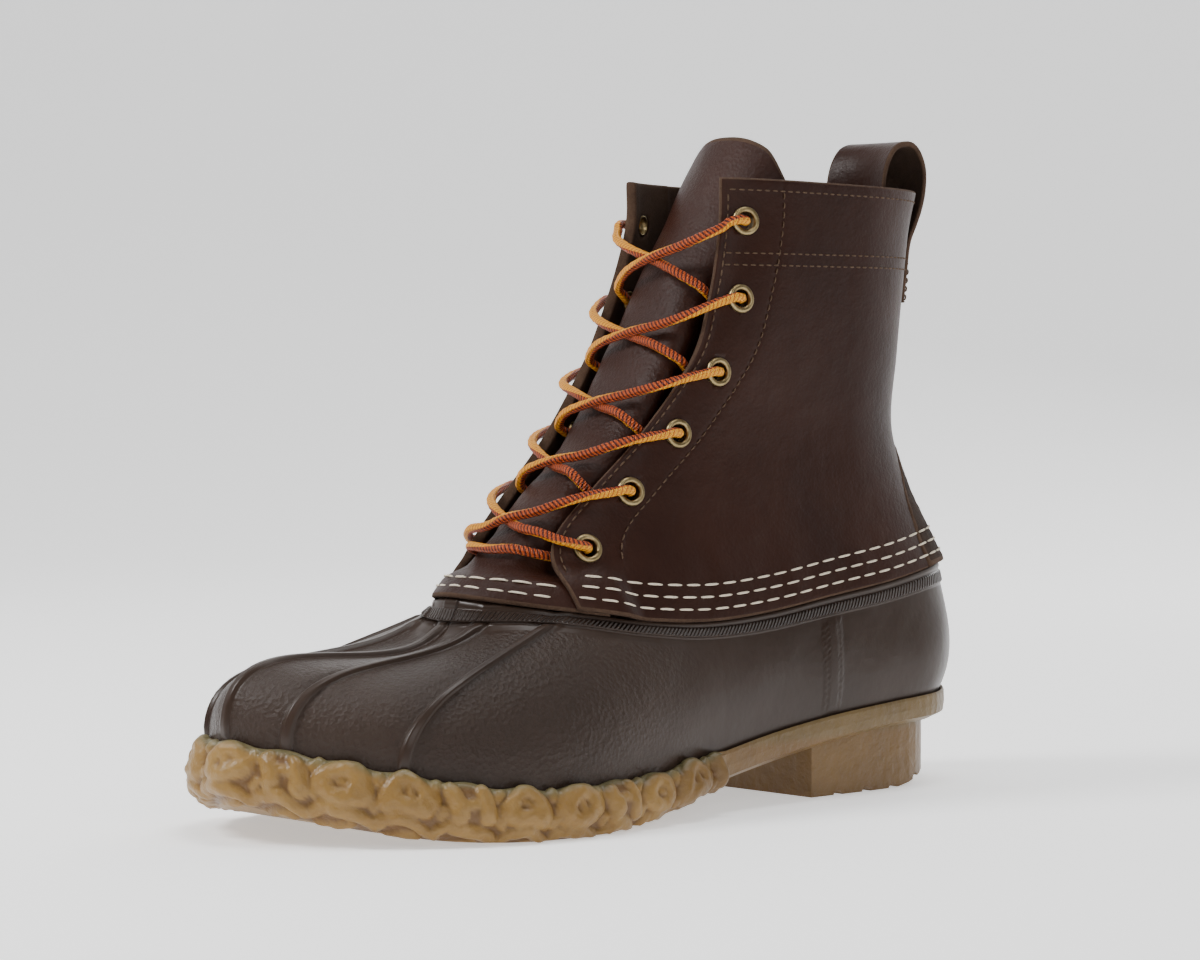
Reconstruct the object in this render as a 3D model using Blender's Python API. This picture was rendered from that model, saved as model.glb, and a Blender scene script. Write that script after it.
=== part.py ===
"""Duck boot, left foot: a rubber bottom with a moulded gum sole and a laced leather shaft.

While it is modelled, +X points to the toe, +Y to the outer (lateral) side and +Z up, with x = 0 at
the back of the sole and z = 0 on the ground. At the end everything hangs on one empty, which puts
the origin at the bottom centre of the bounding box.
"""
import math

import bmesh
import bpy
import numpy as np
from mathutils import Matrix, Vector

# Driving dimensions, in metres.
LENGTH = 0.315              # heel to toe, over the gum sole
BALL_WIDTH = 0.108          # rubber bottom across the ball of the foot
RUBBER_HEIGHT = 0.080       # ground to the leather's hem at the back of the heel
COLLAR_HEIGHT = 0.216       # ground to the top edge of the leather shaft
SHAFT_WIDTH = 0.066         # leather shaft from side to side at the collar
RUBBER_WALL = 0.0030
LEATHER = 0.0024            # one thickness of the shaft's leather
EYESTAY_EXTRA = 0.0014      # second layer inside the eyelet strip
EYESTAY_WIDTH = 0.026
TONGUE_THICKNESS = 0.0020
COUNTER_THICKNESS = 0.0009
GAP = 0.0003                # clearance between pieces that touch
SOLE_SEAT = 0.0005          # clearance between the rubber and the sole's wall
SOLE_BULGE = 0.0060         # how far the chain-link wrap stands out from the rubber
RAND_BULGE = 0.0018         # the same along the smooth heel and waist
LINK_PITCH = 0.0190         # one link of the chain-link wrap
WRAP_START = 5.8            # station from which the wrap runs forward round the toe
SCALLOP_DEPTH = 0.0016      # the wrap draws in by this between two links
SCALLOP_RISE = 0.0012       # and its edge rises by this at each link
SOLE_LIP = 0.0016           # thickness of the sole's wall at its top edge
TREAD_INSET = 0.0030        # the sole's underside starts this far inside the rubber
TREAD_ROLL = 0.0050         # and where the toe springs up, this much further out
HEEL_LENGTH = 0.078         # heel block, back to breast
HEEL_INSET = 0.0065         # the rand overhangs the heel block by this much
HEEL_BEVEL = 0.0060         # rise of the heel's back edge off the ground
LUG_PITCH = 0.0145
LUG_DEPTH = 0.0018
LUG_RADIUS = 0.0024
LUG_SIDES = 8
INSOLE_THICKNESS = 0.0040
RIB_WIDTH = 0.0042
RIB_HEIGHT = 0.0013
HEM_STRIP = 0.0030          # smooth strip of rubber under the leather's hem
KNURL_BAND = 0.0046         # knurled band under that strip
KNURL_HEIGHT = 0.0009
EYELET_RADIUS = 0.0050
EYELET_HOLE = 0.0030
EYELET_BARREL = 0.0036
LACE_RADIUS = 0.0016
LACE_ROOM = 2 * LACE_RADIUS + 0.0014    # between the flaps and the tongue
LOOP_WIDTH = 0.0290
LOOP_THICKNESS = 0.0020
LOOP_HEIGHT = 0.0180        # pull loop above the collar
TONGUE_RISE = 0.0160        # tongue above the collar
TONGUE_RADIUS = 0.0280      # the free top of the tongue curls to this radius
TONGUE_UNDER = 0.012        # how far the tongue runs under each flap
TONGUE_SINK = 0.0036        # the tongue's crest lies this far below the ring's front
TONGUE_ROUNDING = 0.0100    # and its edges sink this much further
LACE_REST = LACE_RADIUS + GAP - TONGUE_SINK     # a lace lying on the tongue's crest

# Stations from the back of the heel to the toe tip. Lengths are shares of LENGTH, widths shares of
# BALL_WIDTH, heights shares of RUBBER_HEIGHT. Columns: name; x, lateral y and medial y of the
# rubber where it meets the sole; top of the sole's wall; sole's floor inside; sole's underside.
FOOT = (
    ("heel back", 0.008, 0.000, 0.000, 0.430, 0.375, 0.300),
    ("heel corner", 0.029, 0.185, -0.185, 0.428, 0.375, 0.300),
    ("heel round", 0.089, 0.329, -0.315, 0.420, 0.370, 0.296),
    ("heel side", 0.175, 0.361, -0.338, 0.400, 0.350, 0.280),
    ("heel breast", 0.270, 0.366, -0.324, 0.365, 0.312, 0.236),
    ("waist back", 0.365, 0.375, -0.319, 0.315, 0.262, 0.176),
    ("waist", 0.460, 0.407, -0.347, 0.255, 0.200, 0.112),
    ("waist front", 0.556, 0.458, -0.403, 0.205, 0.142, 0.040),
    ("ball back", 0.648, 0.500, -0.463, 0.194, 0.114, 0.000),
    ("ball", 0.740, 0.491, -0.500, 0.196, 0.114, 0.000),
    ("toe side", 0.835, 0.398, -0.500, 0.250, 0.140, 0.022),
    ("toe corner", 0.917, 0.204, -0.398, 0.330, 0.190, 0.078),
    ("toe tip", 0.972, -0.102, -0.102, 0.392, 0.242, 0.148),
)
# The leather's hem on the rubber, at the same stations, even on both sides, and the rubber's side
# between sole and hem. Columns: x, half width and height of the hem; then the wall's rise before
# it turns in, how far it bellies out, how far the turn reaches in from the hem, and its fall.
HEM = (
    (0.014, 0.000, 1.000, 0.20, 0.074, 0.10, 0.20),
    (0.029, 0.167, 1.000, 0.20, 0.074, 0.10, 0.20),
    (0.086, 0.306, 0.990, 0.19, 0.056, 0.14, 0.19),
    (0.171, 0.352, 0.937, 0.18, 0.037, 0.20, 0.18),
    (0.267, 0.361, 0.888, 0.18, 0.033, 0.20, 0.17),
    (0.359, 0.364, 0.838, 0.18, 0.033, 0.22, 0.16),
    (0.448, 0.364, 0.812, 0.21, 0.033, 0.28, 0.14),
    (0.530, 0.352, 0.825, 0.25, 0.037, 0.34, 0.13),
    (0.597, 0.309, 0.860, 0.30, 0.037, 0.38, 0.16),
    (0.648, 0.241, 0.888, 0.37, 0.037, 0.34, 0.22),
    (0.679, 0.167, 0.908, 0.45, 0.037, 0.24, 0.32),
    (0.699, 0.083, 0.921, 0.56, 0.040, 0.14, 0.43),
    (0.706, 0.000, 0.926, 0.64, 0.044, 0.08, 0.50),
)
# The leather shaft's outer surface in level rings above the hem. Heights are shares of the way from
# RUBBER_HEIGHT to COLLAR_HEIGHT, lengths of LENGTH, widths of SHAFT_WIDTH. Columns: height, back,
# widest place, front, half width, squareness behind, squareness ahead, half width of the throat.
SHAFT = (
    (0.0883, 0.030, 0.230, 0.652, 0.555, 2.60, 3.0, 0.315),
    (0.2202, 0.060, 0.225, 0.597, 0.515, 2.30, 3.3, 0.321),
    (0.3679, 0.077, 0.220, 0.524, 0.488, 2.05, 4.7, 0.371),
    (0.5521, 0.068, 0.216, 0.468, 0.492, 2.05, 5.2, 0.424),
    (0.7205, 0.059, 0.212, 0.432, 0.500, 2.05, 4.3, 0.394),
    (0.8825, 0.048, 0.210, 0.416, 0.500, 2.05, 3.4, 0.364),
    (1.0000, 0.038, 0.208, 0.413, 0.500, 2.20, 3.5, 0.364),
)
HEM_THROAT = 0.500          # half width of the throat at the hem, share of SHAFT_WIDTH
COLLAR_DIP = 0.0025         # the collar is lower at the back
# Eyelets from the lowest up: height share as in SHAFT, distance in from the flap's edge.
EYELETS = ((0.0788, 0.0125), (0.2138, 0.0150), (0.3552, 0.0140), (0.5077, 0.0130), (0.6919, 0.0120),
           (0.8888, 0.0095))
# Heel counter: height share as in SHAFT, half width as a share of LENGTH.
COUNTER = ((0.0026, 0.155), (0.0788, 0.142), (0.1741, 0.118), (0.2773, 0.082), (0.3409, 0.040))
# Path of the pull loop over the collar, from its sewn leg inside the shaft to the one outside.
# Columns: forward of the shaft's back and above the collar, in shares of LOOP_HEIGHT; bend.
LOOP = ((0.66, -0.62, 0.9), (0.84, -0.25, 0.8), (0.90, 0.20, 0.6), (0.84, 0.62, 0.4),
        (0.62, 0.92, 0.3), (0.25, 1.00, 0.3), (0.00, 0.86, 0.3), (-0.19, 0.50, 0.4),
        (-0.22, 0.05, 0.6), (-0.16, -0.32, 0.8), (-0.04, -0.62, 0.9))
# Raised ribs of the toe: station along the sole, station along the hem, side.
RIBS = ((10.35, 8.60, 1), (11.40, 10.35, 1), (12.0, 12.0, 1), (11.40, 10.35, -1), (10.35, 8.60, -1))

STATIONS = len(FOOT) - 1
RUBBER = (0.040, 0.030, 0.026)
GUM = (0.40, 0.24, 0.085)
LEATHER_BROWN = (0.042, 0.018, 0.012)
SUEDE_BROWN = (0.060, 0.032, 0.020)
BRASS = (0.30, 0.22, 0.10)
LACE_ORANGE = (0.72, 0.30, 0.03)
LINING = (0.16, 0.12, 0.09)


def make_material(name, color, roughness, metallic=0.0):
    found = bpy.data.materials.get(name)
    if found:
        return found
    made = bpy.data.materials.new(name)
    made.use_nodes = True
    shader = made.node_tree.nodes["Principled BSDF"]
    shader.inputs["Base Color"].default_value = (*color, 1.0)
    shader.inputs["Roughness"].default_value = roughness
    shader.inputs["Metallic"].default_value = metallic
    return made


def add_mesh(name, points, faces, material):
    """One closed body with its faces turned out."""
    mesh = bpy.data.meshes.new(name)
    mesh.from_pydata([tuple(map(float, p)) for p in points], [], faces)
    body = bmesh.new()
    body.from_mesh(mesh)
    bmesh.ops.recalc_face_normals(body, faces=body.faces)
    body.to_mesh(mesh)
    body.free()
    mesh.shade_smooth()
    mesh.set_sharp_from_angle(angle=math.radians(35))
    thing = bpy.data.objects.new(name, mesh)
    bpy.context.scene.collection.objects.link(thing)
    mesh.materials.append(material)
    return thing


def add_boolean(target, cutter, operation):
    step = target.modifiers.new(cutter.name, "BOOLEAN")
    step.operation = operation
    step.object = cutter
    step.solver = "EXACT"
    cutter.hide_render = True
    cutter.display_type = "WIRE"


def smoothstep(low, high, value):
    share = np.clip((value - low) / (high - low), 0.0, 1.0)
    return share * share * (3 - 2 * share)


def through(rows, at, closed=False):
    """Catmull-Rom spline through the rows of an array, read at the row number `at`."""
    count = len(rows)
    first = int(math.floor(at))
    if not closed:
        first = min(max(first, 0), count - 2)
    share = at - first

    def row(number):
        if closed:
            return rows[number % count]
        if number < 0:
            return 2 * rows[0] - rows[1]
        if number >= count:
            return 2 * rows[-1] - rows[-2]
        return rows[number]

    a, b, c, d = (row(first + step) for step in (-1, 0, 1, 2))
    return 0.5 * (2 * b + (c - a) * share + (2 * a - 5 * b + 4 * c - d) * share ** 2
                  + (3 * b - a - 3 * c + d) * share ** 3)


def around(half):
    """A loop of stations: heel to toe on the lateral side, then back on the medial side."""
    return np.array([half(k, 1) for k in range(STATIONS + 1)]
                    + [half(k, -1) for k in range(STATIONS - 1, 0, -1)])


def shaft_height(share):
    """Height over the ground at a share of the way from the rubber's height to the collar."""
    return RUBBER_HEIGHT + share * (COLLAR_HEIGHT - RUBBER_HEIGHT)


def foot_station(k, side):
    _, x, lateral, medial, wall, floor, under = FOOT[k]
    y = lateral if side > 0 else medial
    return (x * LENGTH, y * BALL_WIDTH, wall * RUBBER_HEIGHT, floor * RUBBER_HEIGHT,
            under * RUBBER_HEIGHT)


def hem_station(k, side):
    x, y, z, rise, belly, reach, fall = HEM[k]
    return (x * LENGTH, side * y * BALL_WIDTH, z * RUBBER_HEIGHT, rise * RUBBER_HEIGHT,
            belly * BALL_WIDTH, reach, fall * RUBBER_HEIGHT)


FOOT_LOOP = around(foot_station)
HEM_LOOP = around(hem_station)
TURNS = len(FOOT_LOOP)


def foot_at(turn):
    """Plan place, wall top, floor and underside; the curve never dips under the ground."""
    station = through(FOOT_LOOP, turn, closed=True)
    station[4] = max(station[4], 0.0)
    return station


def hem_at(turn):
    return through(HEM_LOOP, turn, closed=True)


def plan_outward(curve, turn):
    """Level unit vector out of a loop at a turn."""
    step = curve(turn + 0.01)[:2] - curve(turn - 0.01)[:2]
    return np.array((-step[1], step[0], 0.0)) / math.hypot(*step)


def foot_point(turn, offset, z):
    return np.append(foot_at(turn)[:2], z) + plan_outward(foot_at, turn) * offset


# The rubber bottom.

def rubber_side(foot_turn, hem_turn):
    """Points up the rubber's outer surface, sole to hem, dense enough to measure along."""
    foot = foot_at(foot_turn)
    hem = hem_at(hem_turn)
    outward = plan_outward(foot_at, foot_turn)
    rise, belly, reach, fall = hem[3:]
    low = np.array(foot[:3])
    high = np.array(hem[:3])
    out_low = low + outward * belly + np.array((0, 0, rise))
    out_high = high + (low - high) * np.array((reach, reach, 0)) + outward * 0.4 * belly
    out_high = out_high - np.array((0, 0, fall))
    t = np.linspace(0, 1, 41)[:, None]
    return ((1 - t) ** 3 * low + 3 * (1 - t) ** 2 * t * out_low + 3 * (1 - t) * t ** 2 * out_high
            + t ** 3 * high)


def lengths_along(points):
    steps = np.linalg.norm(np.diff(points, axis=0), axis=1)
    return np.concatenate(((0.0,), np.cumsum(steps)))


def point_along(points, distance):
    lengths = lengths_along(points)
    return np.array([np.interp(distance, lengths, points[:, axis]) for axis in range(3)])


def rubber_point(foot_turn, hem_turn, from_hem=None, share=None):
    """A point of the rubber's outer surface and its outward normal."""
    def place(shift):
        side = rubber_side(foot_turn + shift, hem_turn + shift)
        whole = lengths_along(side)[-1]
        distance = whole - from_hem if share is None else share * (whole - HEM_STRIP - KNURL_BAND)
        return side, distance

    side, distance = place(0.0)
    here = point_along(side, distance)
    up = point_along(side, distance + 0.0005) - point_along(side, distance - 0.0005)
    beside, apart = place(0.02)
    along = point_along(beside, apart) - here
    normal = np.cross(along, up)
    normal /= np.linalg.norm(normal)
    if normal @ plan_outward(foot_at, foot_turn) + 0.6 * normal[2] < 0:
        normal = -normal
    return here, normal


def rubber_columns():
    """Columns of the rubber bottom: sole turn, hem turn, sideways shift and rib height."""
    ribs = []
    for foot_turn, hem_turn, side in RIBS:
        if side < 0:
            foot_turn = TURNS - foot_turn
            hem_turn = TURNS - hem_turn
        ribs.append((foot_turn, hem_turn))
    ribs.sort()
    fences = [(0.0, 0.0), (5.0, 5.0)] + ribs + [(TURNS - 5.0, TURNS - 5.0), (float(TURNS), float(TURNS))]
    columns = []
    for (foot_a, hem_a), (foot_b, hem_b) in zip(fences, fences[1:]):
        count = max(2, round((foot_b - foot_a) * (3 if 5.0 <= foot_a < TURNS - 5.0 else 2)))
        is_rib = (foot_a, hem_a) in ribs
        if is_rib:
            for shift, height in ((-0.5, 0.0), (-0.2, 1.0), (0.2, 1.0), (0.5, 0.0)):
                columns.append((foot_a, hem_a, shift * RIB_WIDTH, height * RIB_HEIGHT))
        else:
            columns.append((foot_a, hem_a, 0.0, 0.0))
        for step in range(1, count):
            share = step / count
            columns.append((foot_a + share * (foot_b - foot_a), hem_a + share * (hem_b - hem_a),
                            0.0, 0.0))
    return columns


def make_rubber():
    rows = (0.10, 0.20, 0.30, 0.42, 0.58, 0.78, 1.0)
    outer = []
    inner = []
    for foot_turn, hem_turn, shift, height in rubber_columns():
        ahead = plan_outward(foot_at, foot_turn)
        sideways = np.array((ahead[1], -ahead[0], 0.0))
        floor = foot_at(foot_turn)[3] + GAP
        base = foot_point(foot_turn, 0.0, floor) + sideways * shift
        outs = [base]
        ins = [base - ahead * RUBBER_WALL]
        for share in (0.0,) + rows:
            here, normal = rubber_point(foot_turn, hem_turn, share=share)
            across = np.cross(normal, (0, 0, 1.0)) if abs(normal[2]) < 0.7 else sideways
            across = across / np.linalg.norm(across)
            if across @ sideways < 0:
                across = -across
            fade = 1.0 - smoothstep(0.93, 1.0, share)
            lift = height if share > 0 else 0.0
            outs.append(here + across * shift + normal * lift * fade)
            if share in (0.0, 0.20, 0.42, 0.78, 1.0):
                ins.append(here + across * shift - normal * RUBBER_WALL)
        hem_out = plan_outward(hem_at, hem_turn)
        sideways = np.array((hem_out[1], -hem_out[0], 0.0))
        low = HEM_STRIP + KNURL_BAND
        for distance, lift in ((low - 0.0005, KNURL_HEIGHT), (HEM_STRIP, KNURL_HEIGHT),
                               (HEM_STRIP - 0.0006, KNURL_HEIGHT * 0.3), (0.0, 0.0)):
            here, normal = rubber_point(foot_turn, hem_turn, from_hem=distance)
            outs.append(here + sideways * shift + normal * lift)
        ins.append(here + sideways * shift - normal * RUBBER_WALL)
        side, share = hem_share(hem_turn)
        for level in MARGIN_LEVELS:
            margin, normal = shaft_point(side, share, level)
            margin = margin + sideways * shift - normal * (LEATHER + GAP)
            outs.append(margin)
            ins.append(margin - normal * RUBBER_WALL * 0.7)
        outer.append(outs)
        inner.append(ins)
    points, faces = [], []
    loops = [list(column) + list(reversed(lining)) for column, lining in zip(outer, inner)]
    height = len(loops[0])
    for loop in loops:
        points.extend(loop)
    for column in range(len(loops)):
        beside = (column + 1) % len(loops)
        for row in range(height):
            above = (row + 1) % height
            faces.append((column * height + row, beside * height + row,
                          beside * height + above, column * height + above))
    return add_mesh("rubber_bottom", points, faces, make_material("rubber", RUBBER, 0.42))


# The leather shaft.

def superellipse_half(back, widest, front, half_width, behind, ahead):
    """Half a ring in plan, back to front on the lateral side."""
    angle = np.linspace(0, math.pi, 181)
    cosine = -np.cos(angle)
    length = np.where(cosine < 0, widest - back, front - widest)
    power = np.where(cosine < 0, behind, ahead)
    x = widest + length * np.sign(cosine) * np.abs(cosine) ** (2 / power)
    y = half_width * np.abs(np.sin(angle)) ** (2 / power)
    return np.stack((x, y), axis=1)


def even_half(points):
    """The same line, resampled to equal steps."""
    lengths = lengths_along(points)
    at = np.linspace(0, lengths[-1], 121)
    return np.stack([np.interp(at, lengths, points[:, axis]) for axis in range(points.shape[1])],
                    axis=1), lengths[-1]


def build_rings():
    """Half rings of the shaft's outer surface, hem first, and each ring's half girth."""
    rings = [even_half(np.array([hem_at(turn)[:3] for turn in np.linspace(0, STATIONS, 241)]))]
    for height, back, widest, front, half, behind, ahead, _ in SHAFT:
        plan = superellipse_half(back * LENGTH, widest * LENGTH, front * LENGTH,
                                 half * SHAFT_WIDTH, behind, ahead)
        z = shaft_height(height)
        dip = COLLAR_DIP * smoothstep(0.8, 1.0, height)
        drop = dip * (front * LENGTH - plan[:, 0]) / ((front - back) * LENGTH)
        rings.append(even_half(np.column_stack((plan, z - drop))))
    hem = rings[0][0]
    along = np.gradient(hem, axis=0)
    along[[0, -1], 0] = 0.0
    normal = np.cross(rings[1][0] - hem, along)
    normal /= np.linalg.norm(normal, axis=1)[:, None]
    rings[0] = (hem + normal * (LEATHER + GAP), rings[0][1])
    return np.array([ring for ring, _ in rings]), np.array([girth for _, girth in rings])


RINGS, GIRTHS = build_rings()
LEVELS = len(RINGS) - 1
THROATS = np.array([HEM_THROAT] + [row[7] for row in SHAFT]) * SHAFT_WIDTH
MARGIN_LEVELS = (0.2, 0.35)


HEM_TURNS = np.linspace(0, STATIONS, 241)
HEM_RUN = lengths_along(np.array([hem_at(turn)[:3] for turn in HEM_TURNS]))


def hem_share(turn):
    """Side and share of the half girth of a turn of the hem."""
    side = 1 if turn <= STATIONS else -1
    half_turn = turn if side > 0 else TURNS - turn
    return side, float(np.interp(half_turn, HEM_TURNS, HEM_RUN / HEM_RUN[-1]))


def ring_point(side, share, level):
    at = min(max(share, 0.0), 1.0) * (RINGS.shape[1] - 1)
    first = min(int(at), RINGS.shape[1] - 2)
    rows = RINGS[:, first] * (first + 1 - at) + RINGS[:, first + 1] * (at - first)
    point = through(rows, level)
    return np.array((point[0], side * point[1], point[2]))


def shaft_point(side, share, level):
    """A point of the shaft's outer surface and its outward normal."""
    here = ring_point(side, share, level)
    step = 0.004
    low = ring_point(side, share - step, level)
    high = ring_point(side, share + step, level)
    if share > 1 - step:
        high = ring_point(-side, 2 - share - step, level)
    if share < step:
        low = ring_point(-side, step - share, level)
    up = ring_point(side, share, level + 0.02) - ring_point(side, share, level - 0.02)
    normal = np.cross(high - low, up) * side
    normal = -normal / np.linalg.norm(normal)
    return here, normal


def girth_at(level):
    return float(through(GIRTHS[:, None], level)[0])


def find_flap_edge():
    """Levels up the flap's edge, its share of the half girth there and its height."""
    levels = np.linspace(-0.1, LEVELS + 0.1, 145)
    edge = []
    for level in levels:
        half = float(through(THROATS[:, None], level)[0])
        shares = np.linspace(0.5, 1.0, 61)
        spots = np.array([ring_point(1, share, level) for share in shares])
        share = float(np.interp(-half, -spots[:, 1], shares))
        edge.append((level, share, float(np.interp(share, shares, spots[:, 2]))))
    return np.array(edge)


FLAP_EDGE = find_flap_edge()


def flap_share(level):
    """Share of the half girth where the flap's edge runs."""
    return float(np.interp(level, FLAP_EDGE[:, 0], FLAP_EDGE[:, 1]))


def level_of(height_share):
    """Level number of a height on the flap's edge."""
    return float(np.interp(shaft_height(height_share), FLAP_EDGE[:, 2], FLAP_EDGE[:, 0]))


def flap_lift(level, inward):
    """The flaps ride over the tongue's sewn foot near the hem."""
    near = 1.0 - smoothstep(0.016, 0.026, inward)
    return (TONGUE_THICKNESS + 2 * GAP) * near * (1.0 - smoothstep(0.25, 0.75, level))


def flap_thickness(level, inward):
    inside = 1.0 if inward < EYESTAY_WIDTH + 0.0001 else 0.0
    return LEATHER + EYESTAY_EXTRA * inside * smoothstep(0.3, 1.0, level)


def on_flap(side, level, inward, height):
    """A place on the shaft: distance in from the flap's edge, height over the outer surface."""
    share = flap_share(level) - inward / girth_at(level)
    here, normal = shaft_point(side, share, level)
    if share > 1.0:
        here, normal = shaft_point(-side, 2.0 - share, level)
    return here + normal * (height + flap_lift(level, max(inward, 0.0)))


def thick_sheet(name, outer, inner, material):
    """A closed sheet between two grids of points."""
    rows, columns = len(outer), len(outer[0])
    points = [p for row in outer for p in row] + [p for row in inner for p in row]
    back = rows * columns
    faces = []
    for r in range(rows - 1):
        for c in range(columns - 1):
            a, b = r * columns + c, r * columns + c + 1
            d, e = a + columns, b + columns
            faces.append((a, b, e, d))
            faces.append((back + d, back + e, back + b, back + a))
    edge = [(0, c) for c in range(columns - 1)] + [(r, columns - 1) for r in range(rows - 1)]
    edge += [(rows - 1, c) for c in range(columns - 1, 0, -1)] + [(r, 0) for r in range(rows - 1, 0, -1)]
    for (r1, c1), (r2, c2) in zip(edge, edge[1:] + edge[:1]):
        a, b = r1 * columns + c1, r2 * columns + c2
        faces.append((b, a, back + a, back + b))
    return add_mesh(name, points, faces, material)


def make_shaft():
    levels = (0.0, 0.2, 0.35, 0.5, 0.75, 1.0, 1.5, 2.0, 3.0, 4.0, 5.0, 6.0, 7.0)
    strip = (0.0, 0.008, 0.017, EYESTAY_WIDTH, EYESTAY_WIDTH + 0.002)
    hem_last = flap_share(0.0) - strip[-1] / girth_at(0.0)
    shares = [hem_share(hem_turn)[1] for _, hem_turn, _, _ in rubber_columns() if hem_turn < STATIONS]
    spread = [share / hem_last for share in reversed(shares) if share < hem_last * 0.97]
    outer, inner = [], []
    for level in levels:
        flap = flap_share(level)
        girth = girth_at(level)
        half = [(flap - inward / girth, inward) for inward in strip]
        last = half[-1][0]
        half += [(last * step, 1.0) for step in spread]
        outs, ins = [], []
        for side in (1, -1):
            run = half if side > 0 else list(reversed(half))[1:]
            for share, inward in run:
                here, normal = shaft_point(side, share, level)
                out = here + normal * flap_lift(level, inward)
                outs.append(out)
                ins.append(out - normal * flap_thickness(level, inward))
        outer.append(outs)
        inner.append(ins)
    shaft = thick_sheet("leather_shaft", outer, inner,
                        make_material("leather", LEATHER_BROWN, 0.45))
    recess = make_counter("counter_recess", COUNTER_THICKNESS + 2 * GAP, 0.004, 1.6 * GAP)
    add_boolean(shaft, recess, "DIFFERENCE")
    add_boolean(shaft, make_eyelet_cutter(), "DIFFERENCE")
    return shaft


def make_counter(name, depth, height, grow):
    """Heel counter between two heights over the shaft's surface, grown sideways if asked."""
    outer, inner = [], []
    table = np.array(COUNTER)
    back_levels = np.linspace(0.0, 4.0, 81)
    back_heights = [ring_point(1, 0.0, level)[2] for level in back_levels]
    rows = 7
    for row in range(rows):
        at = row / (rows - 1) * (len(table) - 1)
        share_up, half = through(table, at)
        z = shaft_height(share_up) + grow * (-8 if row == 0 else 1)
        level = float(np.interp(z, back_heights, back_levels))
        if row == 0:
            level = 0.0 if grow == 0 else -0.05
        reach = (half * LENGTH + grow) / girth_at(level)
        outs, ins = [], []
        for k in range(-5, 6):
            side = 1 if k >= 0 else -1
            here, normal = shaft_point(side, abs(k) / 5 * reach, level)
            outs.append(here + normal * height)
            ins.append(here - normal * depth)
        outer.append(outs)
        inner.append(ins)
    return thick_sheet(name, outer, inner, make_material("suede", SUEDE_BROWN, 0.85))


def eyelet_frames():
    """Each eyelet's name, side, level, distance from the edge, place and axis."""
    frames = []
    for side, word in ((1, "lateral"), (-1, "medial")):
        for number, (height, inward) in enumerate(EYELETS, 1):
            level = level_of(height)
            share = flap_share(level) - inward / girth_at(level)
            _, normal = shaft_point(side, share, level)
            place = on_flap(side, level, inward, 0.0)
            frames.append((f"eyelet_{word}_{number}", side, level, inward, place, normal))
    return frames


def lathe(name, profile, segments, material):
    """A ring turned about Z from a closed profile of radius and height."""
    points, faces = [], []
    for k in range(segments):
        angle = 2 * math.pi * k / segments
        points += [(r * math.cos(angle), r * math.sin(angle), z) for r, z in profile]
    count = len(profile)
    for k in range(segments):
        beside = (k + 1) % segments
        for row in range(count):
            above = (row + 1) % count
            faces.append((k * count + row, beside * count + row, beside * count + above,
                          k * count + above))
    return add_mesh(name, points, faces, material)


def stand_on(thing, place, axis):
    turn = Vector(axis).to_track_quat("Z", "Y")
    thing.matrix_world = Matrix.LocRotScale(Vector(place), turn, None)


def make_eyelets():
    depth = LEATHER + EYESTAY_EXTRA
    profile = ((EYELET_HOLE, -depth), (EYELET_HOLE, 0.0006), (EYELET_HOLE + 0.0005, 0.0011),
               (EYELET_RADIUS - 0.0006, 0.0011), (EYELET_RADIUS, 0.0005), (EYELET_BARREL, 0.0005),
               (EYELET_BARREL, -depth))
    for name, _, _, _, place, axis in eyelet_frames():
        eyelet = lathe(name, profile, 10, make_material("brass", BRASS, 0.35, 1.0))
        stand_on(eyelet, place, axis)


def make_eyelet_cutter():
    radius = EYELET_BARREL + GAP
    points, faces = [], []
    segments = 10
    for _, _, _, _, place, axis in eyelet_frames():
        turn = Vector(axis).to_track_quat("Z", "Y")
        first = len(points)
        for height in (-0.008, 0.004):
            for k in range(segments):
                angle = 2 * math.pi * k / segments
                local = Vector((radius * math.cos(angle), radius * math.sin(angle), height))
                points.append(Vector(place) + turn @ local)
        for k in range(segments):
            beside = (k + 1) % segments
            faces.append((first + k, first + beside, first + segments + beside,
                          first + segments + k))
        faces.append(tuple(first + k for k in reversed(range(segments))))
        faces.append(tuple(first + segments + k for k in range(segments)))
    return add_mesh("eyelet_holes", points, faces, make_material("brass", BRASS, 0.35, 1.0))


# The tongue.

def tongue_depth(level, across):
    """Depth of the tongue's outer surface under the shaft's outer surface."""
    under_flap = LEATHER + EYESTAY_EXTRA + GAP + LACE_ROOM
    seated = 0.0001
    loose = smoothstep(0.3, 0.75, level)
    edge = seated + (under_flap - seated) * loose
    middle = seated + (TONGUE_SINK - seated) * loose
    rounded = TONGUE_ROUNDING * across ** 2 * smoothstep(0.3, 3.0, level)
    return edge + (middle - edge) * (1.0 - smoothstep(0.25, 0.85, abs(across))) + rounded


def free_tongue(height, across, inside):
    """The free top of the tongue, curled about the shin and leaning back."""
    lean = 0.62 * (height - shaft_height(SHAFT[4][0]))
    axis_x = SHAFT[5][3] * LENGTH - TONGUE_RADIUS - lean
    angle = across * math.radians(62)
    radius = TONGUE_RADIUS - inside
    return np.array((axis_x + radius * math.cos(angle), radius * math.sin(angle), height))


def tongue_point(row, across, inside):
    """Rows 0 to 6 follow the shaft's levels; rows 6 to 7 run up to the rounded top."""
    top = COLLAR_HEIGHT + TONGUE_RISE - 0.013 * abs(across) ** 2.2
    shoulder = shaft_height(SHAFT[5][0])
    if row >= 6.0:
        return free_tongue(shoulder + (row - 6.0) * (top - shoulder), across, inside)
    side = 1 if across >= 0 else -1
    reach = 1.0 - flap_share(row) + TONGUE_UNDER / girth_at(row)
    here, normal = shaft_point(side, 1.0 - abs(across) * reach, row)
    seated = here - normal * (tongue_depth(row, across) + inside)
    free = free_tongue(here[2], across, inside)
    return seated + (free - seated) * smoothstep(4.0, 5.8, row)


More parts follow.
